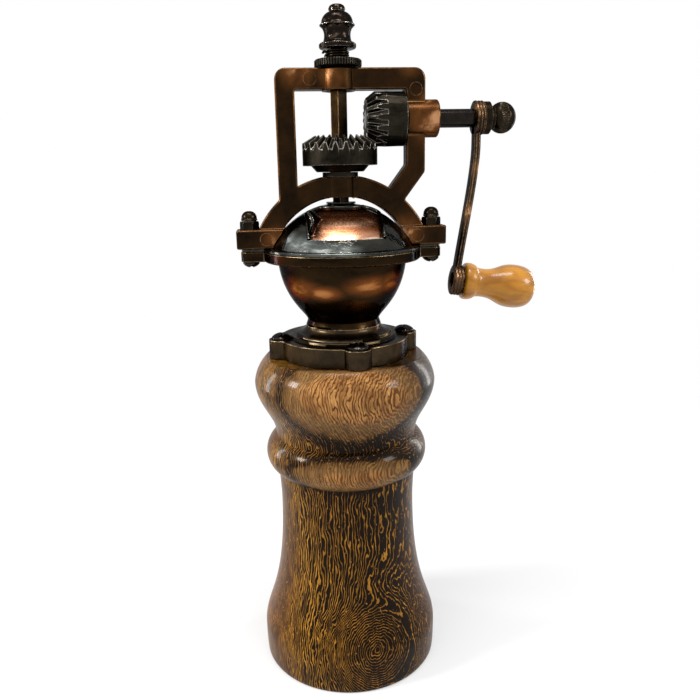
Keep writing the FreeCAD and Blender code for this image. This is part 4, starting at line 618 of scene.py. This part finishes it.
# The upper eye's two faces and the crank's axis, in metres. The eyes are turned rings, with their
# (radius, depth) in millimetres.
arm_x, arm_end_x, crank_z = 0.0437, 0.0467, 0.1884
along_x = Matrix.Rotation(math.pi / 2, 4, "Y")
eye = turned("upper_eye", [
    (2.0, 0), (5.0, 0), (5.35, 0.15), (5.45, 0.5), (5.3, 0.85), (5.3, 1.35), (5.42, 1.55),
    (5.3, 1.75), (5.3, 2.25), (5.42, 2.45), (5.3, 2.7), (5.1, 3.0), (2.0, 3.0)],
    72, closed=True, place=Matrix.Translation((arm_x, 0, crank_z)) @ along_x)
eye.data.materials.append(arm_bronze)
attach(eye, "crank")

# The lower eye and the grip lean outwards by this angle.
grip_lean = math.radians(8.2)
lower_eye_place = (
    Matrix.Translation((0.0374, 0, 0.1360)) @ Matrix.Rotation(grip_lean, 4, "Y") @ along_x)
eye = turned("lower_eye", [
    (1.72, 1.6), (2.6, 1.6), (2.6, 0.15), (2.8, 0), (4.7, 0), (5.05, 0.15), (5.2, 0.5),
    (5.08, 0.9), (5.08, 1.35), (5.2, 1.55), (5.08, 1.75), (5.08, 2.3), (5.2, 2.6), (5.0, 3.1),
    (1.72, 3.1)], 72, closed=True, place=lower_eye_place)
eye.data.materials.append(arm_bronze)
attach(eye, "crank")

# (x, z) in metres down the bar's S bend, from inside one eye to inside the other: each point, and
# the handles before and after it. The bar has a low round ridge along each edge.
bar_bend = (((0.0448, 0.1858), (0.0448, 0.19), (0.0448, 0.184)),
            ((0.0448, 0.18), (0.0448, 0.182), (0.0448, 0.171)),
            ((0.0394, 0.1415), (0.0406, 0.15), (0.0392, 0.1406)),
            ((0.0391, 0.139), (0.0392, 0.1402), (0.039, 0.137)))
bm = bmesh.new()
for half_width, half_thickness, y in (
        (0.0015, 0.0011, 0), (0, 0.0004, -0.0025), (0, 0.0004, 0.0025)):
    run = bpy.data.curves.new("bar_run", "CURVE")
    run.dimensions, run.twist_mode, run.use_fill_caps = "3D", "MINIMUM", True
    run.extrude, run.bevel_depth = half_width, half_thickness
    run.bevel_resolution, run.resolution_u = 4, 24
    spline = run.splines.new("BEZIER")
    spline.bezier_points.add(len(bar_bend) - 1)
    for point, places in zip(spline.bezier_points, bar_bend):
        point.co, point.handle_left, point.handle_right = ((x, y, z) for x, z in places)
    bm.from_mesh(swept(run))
bar = finished("crank_bar", bm, crease=50)
bar.data.materials.append(arm_bronze)
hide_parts("crank_arm")
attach(bar, "crank")


# ---- ball nut ---------------------------------------------------------------------------------
# A turned steel nut that holds the arm on its shaft, plated as the cap nuts are: a collar against
# the eye, a short neck and a slightly flattened ball with a notched band.
def knurl(verts, segments, depth):
    """Draws every second of the upright lines of verts round Z inwards by a share of its radius."""
    for vert in verts:
        if round(math.atan2(vert.co.y, vert.co.x) / math.tau * segments) % 2:
            vert.co = vert.co @ Matrix.Diagonal((1 - depth, 1 - depth, 1))


ball_segments, band_half_width, collar_segments, collar_radius = 96, 0.0014, 72, 0.0051
ball_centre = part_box("ball_nut")[1][0] - 0.0045
bm = bmesh.new()
bmesh.ops.create_uvsphere(bm, u_segments=ball_segments, v_segments=36, radius=0.00495)
knurl([vert for vert in bm.verts if abs(vert.co.z) < band_half_width], ball_segments, 0.035)
bmesh.ops.scale(bm, vec=(1, 1, 0.91), verts=bm.verts)
bmesh.ops.translate(bm, vec=(0, 0, ball_centre - arm_end_x), verts=bm.verts)

# The mesh files the collar's vertices among the ball's, so the last of them, which are knurled
# here, are a part of the collar's rim and a few lines down the ball.
ball_verts = len(bm.verts)
bmesh.ops.create_cone(
    bm, cap_ends=True, segments=collar_segments, radius1=collar_radius, radius2=collar_radius,
    depth=0.002, matrix=Matrix.Translation((0, 0, 0.00105)))
bm.verts.ensure_lookup_table()
knurl(bm.verts[ball_verts:], collar_segments, 0.06)
lathe(bm, [(0, 1.9), (4.4, 1.9), (3.9, 2.25), (3.75, 2.6), (3.75, 3.9), (0, 3.9)], 48)
knob = finished("ball_knob", bm, Matrix.Translation((arm_end_x, 0, crank_z)) @ along_x, crease=24)
knob.data.materials.append(aged_bronze)
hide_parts("ball_nut")
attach(knob, "crank")


# ---- wooden grip ------------------------------------------------------------------------------
# Turned from one piece of beech, bored through, with a waist for the fingers, and oiled. It turns
# freely on the axle between the washer and the nut.

# Oiled beech: honey coloured with a soft broad figure and a silky gloss. Its darker pores run
# along the grip, and are drawn 0.3 mm wide, as coarse as they need to show.
beech, tree, spot = blank_material("oiled_beech")
along = add(tree, "ShaderNodeMapping", {"Vector": spot, "Rotation": (0, -grip_lean, 0)})
pores = add(tree, "ShaderNodeTexNoise", {
    "Vector": add(tree, "ShaderNodeVectorMath", {0: along, 1: (1 / 2.2, 1 / 0.3, 1 / 0.3)},
                  operation="MULTIPLY"),
    "Scale": 1.0, "Detail": 3, "Roughness": 0.6})
figure = add(tree, "ShaderNodeTexNoise", {
    "Vector": add(tree, "ShaderNodeVectorMath", {0: along, 1: (1 / 12, 1 / 5, 1 / 3.5)},
                  operation="MULTIPLY"),
    "Scale": 1.0, "Detail": 2, "Distortion": 0.6})
figure = add(tree, "ShaderNodeMapRange", {"Value": figure, "From Min": 0.35, "From Max": 0.65})
honey = add(tree, "ShaderNodeMix", {0: figure, 6: linear("895405"), 7: linear("b27712")},
            data_type="RGBA")
dark_pores = add(tree, "ShaderNodeMapRange", {
    "Value": pores, "From Min": 0.55, "From Max": 0.85, "To Max": 0.4})
honey = add(tree, "ShaderNodeMix", {0: dark_pores, 6: honey, 7: linear("653808")},
            data_type="RGBA")
sunk = add(tree, "ShaderNodeBump", {"Strength": 1.0, "Distance": 0.00005, "Height": pores})
oiled = add(tree, "ShaderNodeBsdfPrincipled", {
    "Base Color": honey, "Roughness": 0.42, "Specular IOR Level": 0.2,
    "Coat Weight": 0.5, "Coat Roughness": 0.2, "Normal": sunk})
add(tree, "ShaderNodeOutputMaterial", {"Surface": oiled})
grip = cast_copy("wooden_grip", "crank_grip", beech, 0)
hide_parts("crank_grip")
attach(grip, "grip")


# ---- spindle ----------------------------------------------------------------------------------
# A squared steel rod, plated as the arm is, runs down through the mill from the finial to the
# turning burr. The crown wheel turns it by its flats, and it can slide in the wheel.
rod = cast_copy("square_rod", "square_spindle", arm_bronze, 0.15, segments=2)
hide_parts("square_spindle")
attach(rod, "spindle")


# ---- adjusting nut ----------------------------------------------------------------------------
# A low ribbed disc of blackened steel on the spindle's threaded top, above the yoke. Turning it
# lifts the spindle and sets the grind.

# Blackened steel, darker towards the bottoms of its grooves: matt black, and grey along the
# crests of the ribs.
ribbed_steel = patinated("blackened_ribbed_steel", "1a1712", "2f2b24", "45403a", "8d8579",
                         share=0.2, edge=0.12, gloss=0.4, coat=0.0, grooves=(7.0, 7.3), wear=0.6)

# Each rib's corners: radius in millimetres, and place across the rib's share of the round.
ribs, lower_chamfer = 54, 0.97
rib_profile = ((7.44, 0), (7.44, 0.45), (7.02, 0.55), (7.02, 0.9))
nut_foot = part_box("adjusting_nut")[0][2]
bm = bmesh.new()
bmesh.ops.create_circle(bm, cap_ends=True, segments=ribs * len(rib_profile), radius=0.007)
for number, vert in enumerate(bm.verts):
    rib, corner = divmod(number, len(rib_profile))
    reach, across = rib_profile[corner]
    turn = Matrix.Rotation(-math.tau * (rib + across) / ribs, 3, "Z")
    vert.co = turn @ Vector((0, lower_chamfer * reach / 1000, 0.00025))
cap = bm.faces[:]
for rise, grow in ((0.25, 1 / lower_chamfer), (1.5, 1), (0.4, 0.955)):
    extruded = bmesh.ops.extrude_face_region(bm, geom=cap)["geom"]
    cap = [part for part in extruded if isinstance(part, bmesh.types.BMFace)]
    bmesh.ops.scale(bm, vec=(grow, grow, 1), verts=cap[0].verts)
    bmesh.ops.translate(bm, vec=(0, 0, rise / 1000), verts=cap[0].verts)
lathe(bm, [(0, 0), (5.5, 0), (5.5, 0.4), (0, 0.4)], 48)
nut = finished("ribbed_nut", bm, Matrix.Translation((0, 0, nut_foot)), crease=25)
nut.data.materials.append(ribbed_steel)
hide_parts("adjusting_nut")
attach(nut, "adjuster")


# ---- lock spring ------------------------------------------------------------------------------
# A short coil of 0.8 mm steel wire with a hook at its end, plated as the cap nuts are. It sits
# between the nut and the finial and keeps both from working loose.
spring_foot, spring_rise, spring_steps = nut_foot + 0.00335, 0.0018, 90
wire_radius = 0.0004
bm = bmesh.new()
for reach, turns, rise, centre, axis in (
        (0.0032, 2.4, spring_rise, Vector((0, 0, spring_foot)), "Z"),
        (0.0006, 0.8, 0, Vector((-0.0041, -0.0012, spring_foot + 0.00075)), "Y")):
    ring = bmesh.ops.create_circle(bm, cap_ends=True, segments=12, radius=wire_radius)["verts"]
    bmesh.ops.rotate(bm, verts=ring, cent=(0, 0, 0), matrix=Matrix.Rotation(
        math.pi / 2, 3, "X") if axis == "Z" else Matrix.Identity(3))
    bmesh.ops.translate(bm, verts=ring, vec=centre + Vector((-reach, 0, 0)))
    bmesh.ops.spin(
        bm, geom=ring + [edge for edge in bm.edges if edge.verts[0] in ring], cent=centre,
        axis=(0, 0, 1) if axis == "Z" else (0, 1, 0), dvec=(0, 0, rise / spring_steps),
        angle=turns * math.tau, steps=spring_steps, use_merge=False)
bmesh.ops.holes_fill(bm, edges=bm.edges, sides=12)
bmesh.ops.recalc_face_normals(bm, faces=bm.faces)
spring = finished("lock_spring", bm)
spring.data.materials.append(aged_bronze)
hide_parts("finial_spring")
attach(spring, "spindle")


# ---- finial -----------------------------------------------------------------------------------
# A turned knob of small beads on a round foot that screws on the spindle's top and locks the nut.
# Steel, nickel plated black and polished.

# Polished black nickel: a black mirror with pale patches that are painted highlights and
# reflections, and low waves from the buffing.
bright_nickel = patinated("polished_black_nickel", "0a0704", "261b13", "a39281", "fff4e6",
                          share=0.55, gloss=0.12, grit=0.2, pitch=1.5, coat=0.1, patch=2.5)

# (radius, height) in millimetres, from the foot over neck, ridge and dome to the bead on top.
finial_outline = [(0, 0), (1.7, 0), (5.2, 0), (5.6, 0.15), (5.8, 0.5), (5.8, 1.3), (5.5, 1.65),
                  (4.9, 1.8), (4.5, 2.1)]
finial_outline += bend((4.5, 2.1), (4.0, 3.2), (3.9, 4.8), (4.7, 6.0), 8)
finial_outline += [(5.3, 6.55), (5.5, 6.75), (5.5, 6.95), (5.25, 7.1)]
finial_outline += bend((5.0, 7.15), (4.9, 8.8), (4.2, 10.0), (2.7, 10.6), 10)
finial_outline += [(2.45, 10.75), (2.4, 10.95), (2.6, 11.2), (2.62, 11.6), (2.3, 12.3), (1.7, 12.7),
                   (0.9, 12.85), (0, 12.88)]
finial_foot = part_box("spindle_finial")[0][2]
finial = turned("finial", finial_outline[::-1], 72, place=Matrix.Translation((0, 0, finial_foot)))
finial.data.materials.append(bright_nickel)
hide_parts("spindle_finial")
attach(finial, "spindle")


# ---- burrs, guide and bridge ------------------------------------------------------------------
# The steel works inside the body: a fixed grooved ring and a cone on the spindle that grind the
# seeds, a washer and nut under the cone, a blackened guide with three arms pressed in the neck,
# and a bar that two screws hold across the foot.

# Machined bare steel: mid grey and clean, with paler turned edges.
plain_steel = patinated("machined_steel", "6f6f6d", "8b8a87", "a3a29d", "c9c8c3",
                        share=0.5, gloss=0.35)
for name, node, body, metal, slot in (
        ("fixed_burr", "stator_burr", "housing", plain_steel, "plain_steel"),
        ("turning_burr", "rotor_burr", "spindle", plain_steel, "plain_steel"),
        ("burr_washer", "rotor_washer", "spindle", plain_steel, "plain_steel"),
        ("burr_nut", "rotor_nut", "spindle", plain_steel, "plain_steel"),
        ("neck_guide", "shaft_guide", "housing", black_steel, "dark_steel"),
        ("foot_bar", "bottom_bridge", "housing", plain_steel, "plain_steel"),
        ("foot_screws", "bridge_screws", "housing", plain_steel, "plain_steel")):
    piece = cast_copy(name, node, metal, 0.15, segments=2)
    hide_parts(node)
    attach(piece, body)


# ---- background and floor ---------------------------------------------------------------------
# A sweep of white paper that runs into a white background. Both are white to the camera and in
# reflections, and light the mill less than they show.
world = bpy.data.worlds.new("studio")
bpy.context.scene.world = world
world.use_nodes = True
tree = world.node_tree
tree.nodes.clear()
ray = add(tree, "ShaderNodeLightPath")
seen = add(tree, "ShaderNodeMath", {0: ray.outputs["Is Camera Ray"], 1: ray.outputs["Is Glossy Ray"]},
           operation="MAXIMUM")
seen = add(tree, "ShaderNodeMath", {0: seen, 1: ray.outputs["Is Transmission Ray"]}, operation="MAXIMUM")
level = add(tree, "ShaderNodeMapRange", {"Value": seen, "To Min": 0.55, "To Max": 1.0})
sky = add(tree, "ShaderNodeBackground", {"Color": (1, 1, 1, 1), "Strength": level})
add(tree, "ShaderNodeOutputWorld", {"Surface": sky})

# White paper, matt: it takes the mill's soft shadow near its foot, and fades to plain white
# between 60 and 400 mm away.
bm = bmesh.new()
bmesh.ops.create_grid(bm, x_segments=1, y_segments=1, size=3.0)
floor = finished("floor", bm)
paper = bpy.data.materials.new("white_paper_sweep")
paper.use_nodes = True
tree = paper.node_tree
tree.nodes.clear()
ray = add(tree, "ShaderNodeLightPath")
seen = add(tree, "ShaderNodeMath", {0: ray.outputs["Is Camera Ray"], 1: ray.outputs["Is Glossy Ray"]},
           operation="MAXIMUM")
reach = add(tree, "ShaderNodeVectorMath", {0: add(tree, "ShaderNodeTexCoord").outputs["Object"]},
            operation="LENGTH").outputs["Value"]
reach = add(tree, "ShaderNodeMapRange", {
    "Value": reach, "From Min": 0.06, "From Max": 0.4, "To Min": 0.42, "To Max": 1.0},
    interpolation_type="SMOOTHSTEP")
seen = add(tree, "ShaderNodeMath", {0: seen, 1: reach}, operation="MULTIPLY")
matt = add(tree, "ShaderNodeBsdfDiffuse", {"Color": (0.68, 0.68, 0.68, 1)})
glow = add(tree, "ShaderNodeEmission", {"Color": (1, 1, 1, 1), "Strength": 1.0})
surface = add(tree, "ShaderNodeMixShader", {0: seen, 1: matt, 2: glow})
add(tree, "ShaderNodeOutputMaterial", {"Surface": surface})
floor.data.materials.append(paper)


# ---- lamps and camera -------------------------------------------------------------------------
# A key lamp from the left, a weaker fill from the right and a wide one above, all soft, and two
# narrow upright strips behind that edge the sides. Places and sizes in metres, power in watts.
lamp_target = Vector((0, 0, 0.11))
for name, place, width, height, power in (
        ("key_lamp", (-0.75, -0.16, 0.5), 0.17, 0.17, 6.5),
        ("fill_lamp", (0.6, -0.35, 0.45), 0.2, 0.2, 2.8),
        ("top_lamp", (-0.03, -0.17, 0.9), 0.45, 0.2, 4.6),
        ("right_strip", (0.42, 0.25, 0.13), 0.07, 0.4, 1.2),
        ("left_strip", (-0.45, 0.2, 0.17), 0.05, 0.3, 1.2)):
    lamp = bpy.data.lights.new(name, "AREA")
    lamp.shape, lamp.size, lamp.size_y, lamp.energy = "RECTANGLE", width, height, power
    holder = bpy.data.objects.new(name, lamp)
    bpy.context.scene.collection.objects.link(holder)
    holder.location = place
    holder.visible_camera = False
    holder.rotation_euler = (lamp_target - Vector(place)).to_track_quat("-Z", "Y").to_euler()

# The camera looks 14 degrees down with a slight roll, from a place 6 degrees round to the left.
camera = bpy.data.objects.new("camera", bpy.data.cameras.new("camera"))
bpy.context.scene.collection.objects.link(camera)
camera.data.lens, camera.data.sensor_width, camera.data.clip_start = 36, 36, 0.01
camera.matrix_world = (
    Matrix.Rotation(math.radians(-6), 4, "Z")
    @ Matrix.Translation((0.0020, -0.2338, 0.1712))
    @ Matrix.Rotation(math.radians(90 - 14.02), 4, "X")
    @ Matrix.Rotation(math.radians(-1.14), 4, "Z"))
bpy.context.scene.camera = camera
bpy.context.scene.view_settings.view_transform = "Standard"
